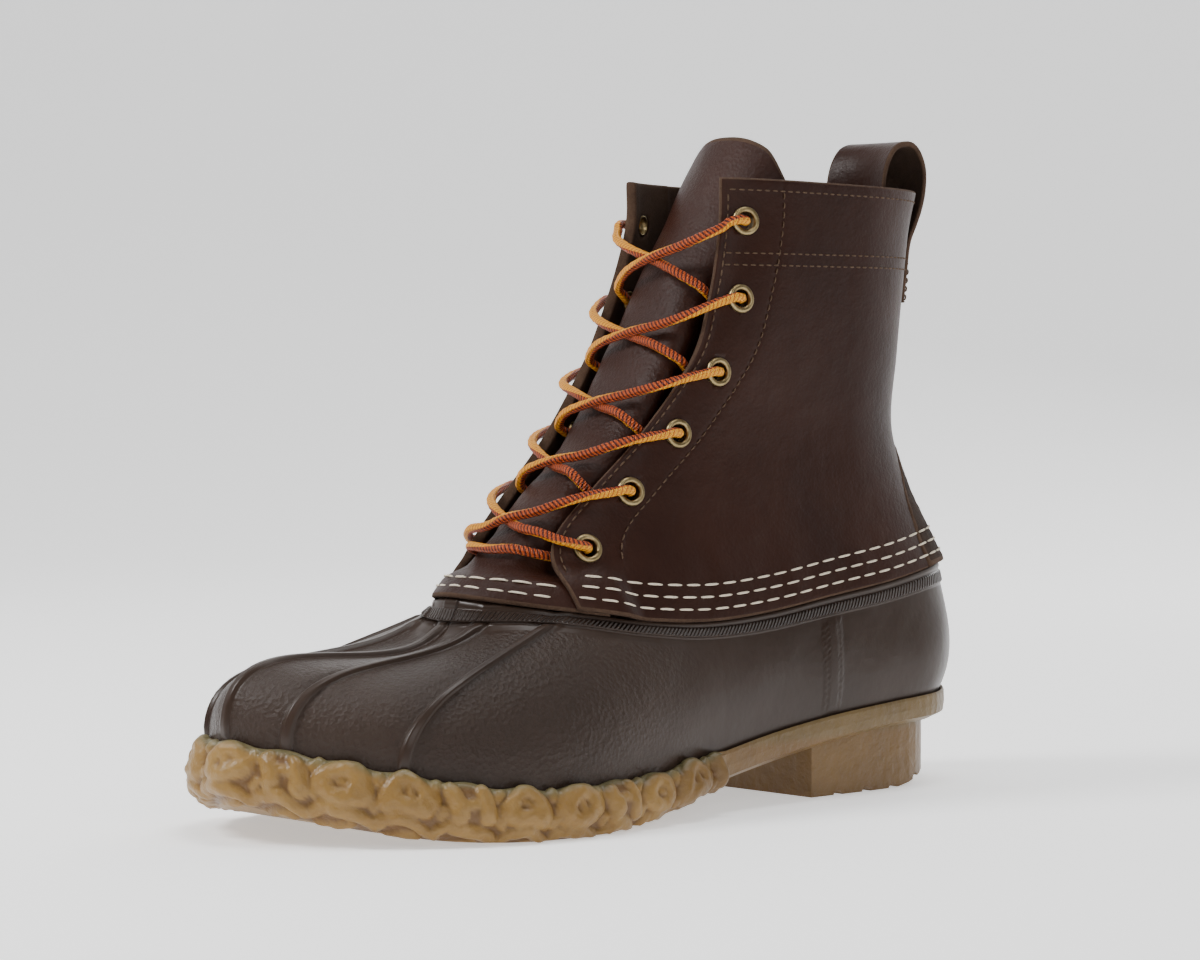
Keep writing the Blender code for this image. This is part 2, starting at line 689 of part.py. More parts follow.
def make_tongue():
    rows = (0.0, 0.2, 0.35, 0.5, 0.75, 1.0, 1.5, 2.0, 2.5, 3.0, 3.5, 4.0, 4.5, 5.0, 5.5, 6.0, 6.5, 7.0)
    columns = np.linspace(-1, 1, 15)
    outer = [[tongue_point(row, across, 0.0) for across in columns] for row in rows]
    inner = [[tongue_point(row, across, TONGUE_THICKNESS) for across in columns] for row in rows]
    return thick_sheet("tongue", outer, inner, make_material("tongue_leather", LEATHER_BROWN, 0.42))


# The gum sole.

def wrap_share(turn):
    """1 round the forefoot, where the sole's wall is a chain of links, 0 along heel and waist."""
    half = turn if turn <= STATIONS else TURNS - turn
    return smoothstep(WRAP_START, WRAP_START + 0.3, half)


def make_sole():
    columns = 6 * TURNS
    rings = []
    run = 0.0
    last = None
    for k in range(columns):
        turn = k / 6
        x, y, wall, floor, under = foot_at(turn)
        here = np.array((x, y))
        run += 0.0 if last is None else float(np.linalg.norm(here - last))
        last = here
        wrap = wrap_share(turn)
        bump = 0.5 - 0.5 * math.cos(2 * math.pi * run / LINK_PITCH)
        out = RAND_BULGE + (SOLE_BULGE - RAND_BULGE - SCALLOP_DEPTH * (1 - bump)) * wrap
        top = wall + SCALLOP_RISE * bump * wrap
        tall = top - under
        tread = -TREAD_INSET + TREAD_ROLL * wrap * (1.0 - smoothstep(0.0, 0.004, under))
        rings.append((foot_point(turn, tread, under),
                      foot_point(turn, out * 0.75, under + 0.22 * tall),
                      foot_point(turn, out, under + 0.55 * tall),
                      foot_point(turn, SOLE_LIP + (out - SOLE_LIP) * 0.45, under + 0.90 * tall),
                      foot_point(turn, SOLE_LIP * 0.8, top),
                      foot_point(turn, SOLE_SEAT, top - 0.0004),
                      foot_point(turn, SOLE_SEAT, floor)))
    points = [p for ring in rings for p in ring]
    height = len(rings[0])
    faces = []
    for k in range(columns):
        beside = (k + 1) % columns
        for row in range(height - 1):
            faces.append((k * height + row, beside * height + row, beside * height + row + 1,
                          k * height + row + 1))
    faces += ladder(columns, lambda k: k * height, True)
    faces += ladder(columns, lambda k: k * height + height - 1, False)
    sole = add_mesh("gum_sole", points, faces, make_material("gum", GUM, 0.45))
    add_boolean(sole, make_heel_block(), "UNION")
    add_boolean(sole, make_grooves(), "DIFFERENCE")
    return sole


def ladder(columns, index, turned):
    """Faces across a loop of columns, from the heel to the toe."""
    faces = []
    for k in range(columns // 2):
        a, b = index(k), index(k + 1)
        c, d = index((columns - k - 1) % columns), index((columns - k) % columns)
        face = [p for n, p in enumerate((a, b, c, d)) if p not in (a, b, c, d)[:n]]
        faces.append(tuple(reversed(face)) if turned else tuple(face))
    return faces


def heel_outline():
    """Plan of the heel block: round the back, straight across the breast."""
    breast = HEEL_INSET + 0.0025 + HEEL_LENGTH
    outline = []
    for turn in np.linspace(-5, 5, 41):
        point = foot_point(turn, -HEEL_INSET, 0.0)
        if point[0] < breast - 0.001:
            outline.append(point[:2])
    first, last = outline[0], outline[-1]
    return [np.array((breast, first[1]))] + outline + [np.array((breast, last[1]))]


def heel_lift(x):
    """Rise of the heel's underside towards its back edge."""
    return HEEL_BEVEL * (1.0 - smoothstep(0.010, 0.046, x))


def make_heel_block():
    outline = heel_outline()
    top = (FOOT[2][6] * RUBBER_HEIGHT) + 0.0015
    breast_top = FOOT[4][6] * RUBBER_HEIGHT + 0.0015
    points = []
    for x, y in outline:
        share = smoothstep(0.04, HEEL_LENGTH, x)
        high = top + (breast_top - top) * share
        points += [(x, y, heel_lift(x)), (x, y, 0.5 * high), (x, y, high)]
    count = len(outline)
    faces = []
    for k in range(count):
        beside = (k + 1) % count
        for row in range(2):
            faces.append((k * 3 + row, beside * 3 + row, beside * 3 + row + 1, k * 3 + row + 1))
    for k in range(count // 2):
        a, b, c, d = k, k + 1, count - 2 - k, count - 1 - k
        if b >= c:
            break
        faces.append((a * 3, b * 3, c * 3, d * 3))
        faces.append((d * 3 + 2, c * 3 + 2, b * 3 + 2, a * 3 + 2))
    last = (count // 2) - 1 if count % 2 == 0 else count // 2 - 1
    if count % 2 == 1:
        a, b, c = last, last + 1, last + 2
        faces.append((a * 3, b * 3, c * 3))
        faces.append((c * 3 + 2, b * 3 + 2, a * 3 + 2))
    return add_mesh("heel_block", points, faces, make_material("gum", GUM, 0.45))


def make_grooves():
    """Rounded grooves across the heel and the forefoot."""
    places = [HEEL_LENGTH - (k + 0.3) * LUG_PITCH for k in range(4)]
    places += [0.575 * LENGTH + k * LUG_PITCH for k in range(8)]
    points, faces = [], []
    for x in places:
        turn = np.interp(x / LENGTH, [row[1] for row in FOOT], range(STATIONS + 1))
        under = heel_lift(x) if x < HEEL_LENGTH else foot_at(turn)[4]
        centre = under + LUG_DEPTH - LUG_RADIUS
        first = len(points)
        for y in (-0.08, 0.08):
            for k in range(LUG_SIDES):
                angle = 2 * math.pi * (k + 0.5) / LUG_SIDES
                points.append((x + LUG_RADIUS * math.cos(angle), y,
                               centre + LUG_RADIUS * math.sin(angle)))
        for k in range(LUG_SIDES):
            beside = (k + 1) % LUG_SIDES
            faces.append((first + k, first + beside, first + LUG_SIDES + beside,
                          first + LUG_SIDES + k))
        faces.append(tuple(first + k for k in reversed(range(LUG_SIDES))))
        faces.append(tuple(first + LUG_SIDES + k for k in range(LUG_SIDES)))
    return add_mesh("sole_grooves", points, faces, make_material("gum", GUM, 0.45))


def make_insole():
    columns = 2 * TURNS
    inset = -(RUBBER_WALL + GAP)
    points = []
    for k in range(columns):
        turn = k / 2
        floor = foot_at(turn)[3]
        points += [foot_point(turn, inset, floor + GAP),
                   foot_point(turn, inset, floor + GAP + INSOLE_THICKNESS)]
    faces = [(2 * k, 2 * ((k + 1) % columns), 2 * ((k + 1) % columns) + 1, 2 * k + 1)
             for k in range(columns)]
    faces += ladder(columns, lambda k: 2 * k, True)
    faces += ladder(columns, lambda k: 2 * k + 1, False)
    return add_mesh("insole", points, faces, make_material("lining", LINING, 0.9))


# The pull loop and the laces.

def make_pull_loop():
    """A leather strap sewn inside and outside the back of the collar."""
    collar = COLLAR_HEIGHT - COLLAR_DIP
    stand = 2 * GAP + LOOP_THICKNESS / 2
    path = []
    upper_rings = COLLAR_HEIGHT - shaft_height(SHAFT[5][0])
    for below in (0.030, 0.022):
        back = ring_point(1, 0.0, LEVELS - below / upper_rings)
        path.append((back[0] + LEATHER + stand, back[2], 1.0))
    back = ring_point(1, 0.0, LEVELS)
    path += [(back[0] + ahead * LOOP_HEIGHT, collar + up * LOOP_HEIGHT, bend)
             for ahead, up, bend in LOOP]
    for below in (0.019, 0.027, 0.035):
        back = ring_point(1, 0.0, LEVELS - below / upper_rings)
        path.append((back[0] - stand, back[2], 1.0))
    outer, inner = [], []
    for number, (x, z, bend) in enumerate(path):
        before = path[max(number - 1, 0)]
        after = path[min(number + 1, len(path) - 1)]
        along = np.array((after[0] - before[0], after[1] - before[1]))
        along /= np.linalg.norm(along)
        across = np.array((-along[1], along[0])) * LOOP_THICKNESS / 2
        outs, ins = [], []
        for k in range(-2, 3):
            y = k / 2 * LOOP_WIDTH / 2
            wrap = bend * wall_curve(y, -LEATHER - stand if number < len(path) / 2 else stand)
            outs.append((x + across[0] + wrap, y, z + across[1]))
            ins.append((x - across[0] + wrap, y, z - across[1]))
        outer.append(outs)
        inner.append(ins)
    return thick_sheet("pull_loop", outer, inner, make_material("leather", LEATHER_BROWN, 0.45))


def wall_curve(y, height):
    """How far the shaft's back curves forward beside its middle, at a height over its surface."""
    spots = []
    for share in np.linspace(0.0, 0.3, 31):
        here, normal = shaft_point(1, share, LEVELS - 0.8)
        spots.append(here + normal * height)
    spots = np.array(spots)
    return float(np.interp(abs(y), spots[:, 1], spots[:, 0])) - spots[0, 0]


def tube(name, path, radius, sides, material):
    """A closed tube along a path of points."""
    path = [Vector(map(float, p)) for p in path]
    points, faces = [], []
    side_way = None
    for number, here in enumerate(path):
        ahead = (path[min(number + 1, len(path) - 1)] - path[max(number - 1, 0)]).normalized()
        if side_way is None:
            side_way = ahead.orthogonal().normalized()
        side_way = (side_way - ahead * side_way.dot(ahead)).normalized()
        other = ahead.cross(side_way)
        for k in range(sides):
            angle = 2 * math.pi * k / sides
            points.append(here + (side_way * math.cos(angle) + other * math.sin(angle)) * radius)
    for ring in range(len(path) - 1):
        for k in range(sides):
            beside = (k + 1) % sides
            faces.append((ring * sides + k, ring * sides + beside,
                          (ring + 1) * sides + beside, (ring + 1) * sides + k))
    faces.append(tuple(reversed(range(sides))))
    last = (len(path) - 1) * sides
    faces.append(tuple(last + k for k in range(sides)))
    return add_mesh(name, points, faces, material)


def lace_half(number, out_of_eyelet):
    """From an eyelet towards the middle of the throat, out over the flap or from under it.

    Each row holds the share of the way to the next eyelet, the distance in from the flap's edge
    and the height over the shaft's surface.
    """
    level = level_of(EYELETS[number][0])
    inward = EYELETS[number][1]
    over = 0.0011 + GAP + LACE_RADIUS
    half_throat = (1.0 - flap_share(level)) * girth_at(level)
    if out_of_eyelet:
        return level, [(0.0, inward, -0.0016), (0.0, inward, -0.0004), (0.0, inward - 0.0007, 0.0019),
                       (0.0, inward - 0.0034, over + 0.0002), (0.04, inward - 0.0064, over),
                       (0.12, 0.0010, 0.0023), (0.24, -0.0050, 0.0016),
                       (0.36, -0.55 * half_throat, LACE_REST + 0.0018)]
    under = -(LEATHER + EYESTAY_EXTRA + LACE_ROOM / 2)
    return level, [(0.0, inward + 0.0010, under), (0.04, 0.5 * inward, under),
                   (0.10, 0.0008, under), (0.20, -0.0050, under + 0.0029),
                   (0.36, -0.55 * half_throat, LACE_REST + 0.0014)]


def lace_strand(start_side, start, start_out, end, lift):
    """One strand from an eyelet on one side up to the next eyelet on the other side."""
    level_a, first = lace_half(start, start_out)
    level_b, last = lace_half(end, True)
    path = [on_flap(start_side, level_a + share * (level_b - level_a), inward, height)
            for share, inward, height in first]
    middle, normal = shaft_point(1, 1.0, (level_a + level_b) / 2)
    path.append(middle + normal * lift)
    path += [on_flap(-start_side, level_b - share * (level_b - level_a), inward, height)
             for share, inward, height in reversed(last)]
    return path


def make_laces():
    material = make_material("lace", LACE_ORANGE, 0.7)
    level, half = lace_half(0, False)
    middle, normal = shaft_point(1, 1.0, level)
    bar = [on_flap(1, level, inward, height) for _, inward, height in half]
    bar.append(middle + normal * (LACE_REST + 0.0008))
    bar += [on_flap(-1, level, inward, height) for _, inward, height in reversed(half)]
    tube("lace_bar", bar, LACE_RADIUS, 6, material)
    for number in range(len(EYELETS) - 1):
        crossing = tube(f"lace_cross_{number + 1}",
                        lace_strand(-1, number, number == 0, number + 1,
                                    LACE_REST + 1.7 * LACE_RADIUS),
                        LACE_RADIUS, 6, material)
        lower = tube(f"lace_under_{number + 1}",
                     lace_strand(1, number, number == 0, number + 1, LACE_REST + 0.0003),
                     LACE_RADIUS, 6, material)
        add_boolean(crossing, lower, "UNION")


def hang_on_origin():
    """Parent every piece to an empty that sets the origin at the bottom centre of the box."""
    bpy.context.view_layer.update()
    graph = bpy.context.evaluated_depsgraph_get()
    corners = []
    for thing in bpy.context.scene.objects:
        if not thing.hide_render:
            shown = thing.evaluated_get(graph)
            corners += [shown.matrix_world @ vertex.co for vertex in shown.data.vertices]
    corners = np.array([tuple(corner) for corner in corners])
    low, high = corners.min(axis=0), corners.max(axis=0)
    empty = bpy.data.objects.new("boot", None)
    bpy.context.scene.collection.objects.link(empty)
    for thing in list(bpy.context.scene.objects):
        if thing is not empty:
            thing.parent = empty
    empty.location = (-(low[0] + high[0]) / 2, -(low[1] + high[1]) / 2, -low[2])


def main():
    for thing in list(bpy.data.objects):
        bpy.data.objects.remove(thing, do_unlink=True)
    make_sole()
    make_rubber()
    make_insole()
    make_shaft()
    make_counter("heel_counter", COUNTER_THICKNESS, 0.0, 0.0)
    make_tongue()
    make_eyelets()
    make_laces()
    make_pull_loop()
    hang_on_origin()


main()
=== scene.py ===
"""Dressed scene of the duck boot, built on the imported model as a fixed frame."""
import math

import bmesh
import bpy
import numpy as np
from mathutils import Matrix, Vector


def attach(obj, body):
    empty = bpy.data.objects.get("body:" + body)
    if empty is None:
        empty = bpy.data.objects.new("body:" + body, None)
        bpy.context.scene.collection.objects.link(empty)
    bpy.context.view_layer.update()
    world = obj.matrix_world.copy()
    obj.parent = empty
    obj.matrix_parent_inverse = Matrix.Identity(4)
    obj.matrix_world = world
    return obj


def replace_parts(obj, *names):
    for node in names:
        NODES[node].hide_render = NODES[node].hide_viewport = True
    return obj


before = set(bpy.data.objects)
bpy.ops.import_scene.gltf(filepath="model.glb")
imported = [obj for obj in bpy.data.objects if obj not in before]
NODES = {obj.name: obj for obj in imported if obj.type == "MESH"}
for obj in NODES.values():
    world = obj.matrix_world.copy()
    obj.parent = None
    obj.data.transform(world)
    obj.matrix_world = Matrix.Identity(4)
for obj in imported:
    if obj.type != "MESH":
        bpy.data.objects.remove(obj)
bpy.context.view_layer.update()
BODY = "root"

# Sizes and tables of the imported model, in metres, measured from the back of the heel.
SHIFT = np.array((-0.155102, 0.0000876, 0.0))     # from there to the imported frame
LENGTH = 0.315              # heel to toe, over the gum sole
BALL_WIDTH = 0.108          # rubber bottom across the ball of the foot
RUBBER_HEIGHT = 0.080       # ground to the leather's hem at the back of the heel
COLLAR_HEIGHT = 0.216       # ground to the top edge of the leather shaft
SHAFT_WIDTH = 0.066         # leather shaft from side to side at the collar
RUBBER_WALL = 0.0030
LEATHER = 0.0024            # one thickness of the shaft's leather
EYESTAY_EXTRA = 0.0014      # second layer inside the eyelet strip
EYESTAY_WIDTH = 0.026
TONGUE_THICKNESS = 0.0020
COUNTER_THICKNESS = 0.0009
GAP = 0.0003                # clearance between pieces that touch
SOLE_BULGE = 0.0060         # how far the chain-link wrap stands out from the rubber
RAND_BULGE = 0.0018         # the same along the smooth heel and waist
LINK_PITCH = 0.0190         # one link of the chain-link wrap
WRAP_START = 5.8            # station from which the wrap runs forward round the toe
SCALLOP_DEPTH = 0.0016      # the wrap draws in by this between two links
SCALLOP_RISE = 0.0012       # and its edge rises by this at each link
SOLE_LIP = 0.0016           # thickness of the sole's wall at its top edge
TREAD_INSET = 0.0030        # the sole's underside starts this far inside the rubber
TREAD_ROLL = 0.0050         # and where the toe springs up, this much further out
RIB_WIDTH = 0.0042
RIB_HEIGHT = 0.0013
HEM_STRIP = 0.0030          # smooth strip of rubber under the leather's hem
KNURL_BAND = 0.0046         # knurled band under that strip
KNURL_HEIGHT = 0.0009
EYELET_RADIUS = 0.0050
EYELET_HOLE = 0.0030
EYELET_BARREL = 0.0036
LACE_RADIUS = 0.0016
LACE_ROOM = 2 * LACE_RADIUS + 0.0014    # between the flaps and the tongue
LOOP_WIDTH = 0.0290
LOOP_THICKNESS = 0.0020
LOOP_HEIGHT = 0.0180        # pull loop above the collar
TONGUE_RISE = 0.0160        # tongue above the collar
TONGUE_RADIUS = 0.0280      # the free top of the tongue curls to this radius
TONGUE_UNDER = 0.012        # how far the tongue runs under each flap
TONGUE_SINK = 0.0036        # the tongue's crest lies this far below the ring's front
TONGUE_ROUNDING = 0.0100    # and its edges sink this much further
LACE_REST = LACE_RADIUS + GAP - TONGUE_SINK     # a lace lying on the tongue's crest

# Stations from the back of the heel to the toe tip. Lengths are shares of LENGTH, widths shares of
# BALL_WIDTH, heights shares of RUBBER_HEIGHT. Columns: name; x, lateral y and medial y of the
# rubber where it meets the sole; top of the sole's wall; sole's floor inside; sole's underside.
FOOT = (
    ("heel back", 0.008, 0.000, 0.000, 0.430, 0.375, 0.300),
    ("heel corner", 0.029, 0.185, -0.185, 0.428, 0.375, 0.300),
    ("heel round", 0.089, 0.329, -0.315, 0.420, 0.370, 0.296),
    ("heel side", 0.175, 0.361, -0.338, 0.400, 0.350, 0.280),
    ("heel breast", 0.270, 0.366, -0.324, 0.365, 0.312, 0.236),
    ("waist back", 0.365, 0.375, -0.319, 0.315, 0.262, 0.176),
    ("waist", 0.460, 0.407, -0.347, 0.255, 0.200, 0.112),
    ("waist front", 0.556, 0.458, -0.403, 0.205, 0.142, 0.040),
    ("ball back", 0.648, 0.500, -0.463, 0.194, 0.114, 0.000),
    ("ball", 0.740, 0.491, -0.500, 0.196, 0.114, 0.000),
    ("toe side", 0.835, 0.398, -0.500, 0.250, 0.140, 0.022),
    ("toe corner", 0.917, 0.204, -0.398, 0.330, 0.190, 0.078),
    ("toe tip", 0.972, -0.102, -0.102, 0.392, 0.242, 0.148),
)
# The leather's hem on the rubber, at the same stations, even on both sides, and the rubber's side
# between sole and hem. Columns: x, half width and height of the hem; then the wall's rise before
# it turns in, how far it bellies out, how far the turn reaches in from the hem, and its fall.
HEM = (
    (0.014, 0.000, 1.000, 0.20, 0.074, 0.10, 0.20),
    (0.029, 0.167, 1.000, 0.20, 0.074, 0.10, 0.20),
    (0.086, 0.306, 0.990, 0.19, 0.056, 0.14, 0.19),
    (0.171, 0.352, 0.937, 0.18, 0.037, 0.20, 0.18),
    (0.267, 0.361, 0.888, 0.18, 0.033, 0.20, 0.17),
    (0.359, 0.364, 0.838, 0.18, 0.033, 0.22, 0.16),
    (0.448, 0.364, 0.812, 0.21, 0.033, 0.28, 0.14),
    (0.530, 0.352, 0.825, 0.25, 0.037, 0.34, 0.13),
    (0.597, 0.309, 0.860, 0.30, 0.037, 0.38, 0.16),
    (0.648, 0.241, 0.888, 0.37, 0.037, 0.34, 0.22),
    (0.679, 0.167, 0.908, 0.45, 0.037, 0.24, 0.32),
    (0.699, 0.083, 0.921, 0.56, 0.040, 0.14, 0.43),
    (0.706, 0.000, 0.926, 0.64, 0.044, 0.08, 0.50),
)
# The leather shaft's outer surface in level rings above the hem. Heights are shares of the way from
# RUBBER_HEIGHT to COLLAR_HEIGHT, lengths of LENGTH, widths of SHAFT_WIDTH. Columns: height, back,
# widest place, front, half width, squareness behind, squareness ahead, half width of the throat.
SHAFT = (
    (0.0883, 0.030, 0.230, 0.652, 0.555, 2.60, 3.0, 0.315),
    (0.2202, 0.060, 0.225, 0.597, 0.515, 2.30, 3.3, 0.321),
    (0.3679, 0.077, 0.220, 0.524, 0.488, 2.05, 4.7, 0.371),
    (0.5521, 0.068, 0.216, 0.468, 0.492, 2.05, 5.2, 0.424),
    (0.7205, 0.059, 0.212, 0.432, 0.500, 2.05, 4.3, 0.394),
    (0.8825, 0.048, 0.210, 0.416, 0.500, 2.05, 3.4, 0.364),
    (1.0000, 0.038, 0.208, 0.413, 0.500, 2.20, 3.5, 0.364),
)
HEM_THROAT = 0.500          # half width of the throat at the hem, share of SHAFT_WIDTH
COLLAR_DIP = 0.0025         # the collar is lower at the back
# Eyelets from the lowest up: height share as in SHAFT, distance in from the flap's edge.
EYELETS = ((0.0788, 0.0125), (0.2138, 0.0150), (0.3552, 0.0140), (0.5077, 0.0130), (0.6919, 0.0120),
           (0.8888, 0.0095))
# Heel counter: height share as in SHAFT, half width as a share of LENGTH.
COUNTER = ((0.0026, 0.155), (0.0788, 0.142), (0.1741, 0.118), (0.2773, 0.082), (0.3409, 0.040))
# Path of the pull loop over the collar, from its sewn leg inside the shaft to the one outside.
# Columns: forward of the shaft's back and above the collar, in shares of LOOP_HEIGHT; bend.
LOOP = ((0.66, -0.62, 0.9), (0.84, -0.25, 0.8), (0.90, 0.20, 0.6), (0.84, 0.62, 0.4),
        (0.62, 0.92, 0.3), (0.25, 1.00, 0.3), (0.00, 0.86, 0.3), (-0.19, 0.50, 0.4),
        (-0.22, 0.05, 0.6), (-0.16, -0.32, 0.8), (-0.04, -0.62, 0.9))
# Raised ribs of the toe: station along the sole, station along the hem, side.
RIBS = ((10.35, 8.60, 1), (11.40, 10.35, 1), (12.0, 12.0, 1), (11.40, 10.35, -1), (10.35, 8.60, -1))
STATIONS = len(FOOT) - 1

# Details that only this scene shows.
RIB_REACH = 0.0032          # a rib's columns lie this far to each side of its middle
STRIP_PLACE = 0.0845        # the upright seam strip on each side of the rubber
STRIP_TURN = 4.42           # and its turn round the sole
STRIP_HALF = (0.0042, 0.0049)       # half its width, where its edge starts and ends
STRIP_NOTCH = 0.0019        # pitch of the notches along its edges
# Hem band of the rubber: distance under the hem, height as a share of KNURL_HEIGHT.
HEM_BAND = ((0.0079, 0.15), (0.0076, 0.60), (0.0073, 0.92), (0.0068, 1.0), (0.0055, 1.0),
            (0.0042, 1.0), (0.0037, 0.92), (0.0034, 0.62), (0.0031, 0.30), (0.0028, 0.28),
            (0.0024, 0.60), (0.0019, 0.85), (0.0012, 0.92), (0.0006, 0.70), (0.0, 0.0))
KNURL_TOOTH = 0.0016        # one fine tooth of the knurled band
KNURL_FROM, KNURL_TO = 0.0034, 0.0074   # the teeth's reach under the hem
LINK_HEIGHT = 0.0029        # tallest bar of the chain relief
CHAIN_ENDS = 5.82           # turn where the chain relief starts
CHAIN_ROWS = 42
EDGE_SHARE = 0.90           # where a sheet is thinner than this share, its cut edge shows
STITCH_INSETS = (0.0030, 0.0250)    # stitch lines beside the flap's edge
HEM_ROWS = (0.0042, 0.0086, 0.0130)     # stitch rows above the hem; the tongue's foot has two
# Stitches: length, gap and radius.
CREAM_STITCH = (0.0066, 0.0015, 0.00040)
BROWN_STITCH = (0.0023, 0.0010, 0.00030)
LOOP_STITCH = (0.0022, 0.0009, 0.00033)
COLLAR_LINES = (6.73, 5.34, 5.52)   # levels of the stitch lines round the shaft
LOOP_SEAMS = (-0.0345, -0.0245)     # stitch rows of the pull loop, over the collar
LOOP_SEAM_HALF = 0.0120
# Creases of the tongue: height, bow towards its edges, depth.
CREASES = ((0.098, 0.010, 0.0007), (0.112, -0.008, 0.0008), (0.127, 0.010, 0.0006),
           (0.145, -0.012, 0.0006), (0.168, 0.010, 0.0004))
TONGUE_CORNERS = 0.0045     # the tongue's top corners hang this much lower
LACE_SIDES = 14
LACE_STEP = 0.0009          # length between two rings of the lace
LACE_PICK = 0.0015          # one slanted pick of the braid
LACE_WIND = 0.085           # the lace's two colours wind once round it in this length
LACE_TWIST = 0.0042         # and its strands in this


def smoothstep(low, high, value):
    share = np.clip((value - low) / (high - low), 0.0, 1.0)
    return share * share * (3 - 2 * share)


def through(rows, at, closed=False):
    """Catmull-Rom spline through the rows of an array, read at the row number `at`."""
    count = len(rows)
    first = int(math.floor(at))
    if not closed:
        first = min(max(first, 0), count - 2)
    share = at - first

    def row(number):
        if closed:
            return rows[number % count]
        if number < 0:
            return 2 * rows[0] - rows[1]
        if number >= count:
            return 2 * rows[-1] - rows[-2]
        return rows[number]

    a, b, c, d = (row(first + step) for step in (-1, 0, 1, 2))
    return 0.5 * (2 * b + (c - a) * share + (2 * a - 5 * b + 4 * c - d) * share ** 2
                  + (3 * b - a - 3 * c + d) * share ** 3)


def lengths_along(points):
    steps = np.linalg.norm(np.diff(points, axis=0), axis=1)
    return np.concatenate(((0.0,), np.cumsum(steps)))


def read_at(distance, lengths, points):
    """A point at a distance along a line whose lengths are known."""
    return np.array([np.interp(distance, lengths, points[:, axis]) for axis in range(3)])


def unit(vector):
    return vector / np.linalg.norm(vector)


def around(half):
    """A loop of stations: heel to toe on the lateral side, then back on the medial side."""
    return np.array([half(k, 1) for k in range(STATIONS + 1)]
                    + [half(k, -1) for k in range(STATIONS - 1, 0, -1)])


def shaft_height(share):
    """Height over the ground at a share of the way from the rubber's height to the collar."""
    return RUBBER_HEIGHT + share * (COLLAR_HEIGHT - RUBBER_HEIGHT)


def foot_station(k, side):
    _, x, lateral, medial, wall, floor, under = FOOT[k]
    y = lateral if side > 0 else medial
    return (x * LENGTH, y * BALL_WIDTH, wall * RUBBER_HEIGHT, floor * RUBBER_HEIGHT,
            under * RUBBER_HEIGHT)


def hem_station(k, side):
    x, y, z, rise, belly, reach, fall = HEM[k]
    return (x * LENGTH, side * y * BALL_WIDTH, z * RUBBER_HEIGHT, rise * RUBBER_HEIGHT,
            belly * BALL_WIDTH, reach, fall * RUBBER_HEIGHT)


FOOT_LOOP = around(foot_station)
HEM_LOOP = around(hem_station)
TURNS = len(FOOT_LOOP)


def foot_at(turn):
    """Plan place, wall top, floor and underside; the curve never dips under the ground."""
    station = through(FOOT_LOOP, turn, closed=True)
    station[4] = max(station[4], 0.0)
    return station


def hem_at(turn):
    return through(HEM_LOOP, turn, closed=True)


def plan_outward(curve, turn):
    """Level unit vector out of a loop at a turn."""
    step = curve(turn + 0.01)[:2] - curve(turn - 0.01)[:2]
    return np.array((-step[1], step[0], 0.0)) / math.hypot(*step)


def foot_point(turn, offset, z):
    return np.append(foot_at(turn)[:2], z) + plan_outward(foot_at, turn) * offset


def rubber_side(foot_turn, hem_turn):
    """Points up the rubber's outer surface, sole to hem, dense enough to measure along."""
    foot = foot_at(foot_turn)
    hem = hem_at(hem_turn)
    outward = plan_outward(foot_at, foot_turn)
    rise, belly, reach, fall = hem[3:]
    low = np.array(foot[:3])
    high = np.array(hem[:3])
    out_low = low + outward * belly + np.array((0, 0, rise))
    out_high = high + (low - high) * np.array((reach, reach, 0)) + outward * 0.4 * belly
    out_high = out_high - np.array((0, 0, fall))
    t = np.linspace(0, 1, 41)[:, None]
    return ((1 - t) ** 3 * low + 3 * (1 - t) ** 2 * t * out_low + 3 * (1 - t) * t ** 2 * out_high
            + t ** 3 * high)


def rubber_point(foot_turn, hem_turn, from_hem=None, share=None):
    """A point of the rubber's outer surface and its outward normal."""
    def place(shift):
        side = rubber_side(foot_turn + shift, hem_turn + shift)
        lengths = lengths_along(side)
        distance = lengths[-1] - from_hem if share is None \
            else share * (lengths[-1] - HEM_STRIP - KNURL_BAND)
        return side, lengths, distance

    side, lengths, distance = place(0.0)
    here = read_at(distance, lengths, side)
    up = read_at(distance + 0.0005, lengths, side) - read_at(distance - 0.0005, lengths, side)
    beside, lengths, apart = place(0.02)
    normal = unit(np.cross(read_at(apart, lengths, beside) - here, up))
    if normal @ plan_outward(foot_at, foot_turn) + 0.6 * normal[2] < 0:
        normal = -normal
    return here, normal


def superellipse_half(back, widest, front, half_width, behind, ahead):
    """Half a ring in plan, back to front on the lateral side."""
    angle = np.linspace(0, math.pi, 181)
    cosine = -np.cos(angle)
    length = np.where(cosine < 0, widest - back, front - widest)
    power = np.where(cosine < 0, behind, ahead)
    x = widest + length * np.sign(cosine) * np.abs(cosine) ** (2 / power)
    y = half_width * np.abs(np.sin(angle)) ** (2 / power)
    return np.stack((x, y), axis=1)


def even_half(points):
    """The same line, resampled to equal steps, and its length."""
    lengths = lengths_along(points)
    at = np.linspace(0, lengths[-1], 121)
    return np.stack([np.interp(at, lengths, points[:, axis]) for axis in range(3)],
                    axis=1), lengths[-1]


HEM_TURNS = np.linspace(0, STATIONS, 241)
HEM_HALF = np.array([hem_at(turn)[:3] for turn in HEM_TURNS])
HEM_RUN = lengths_along(HEM_HALF)


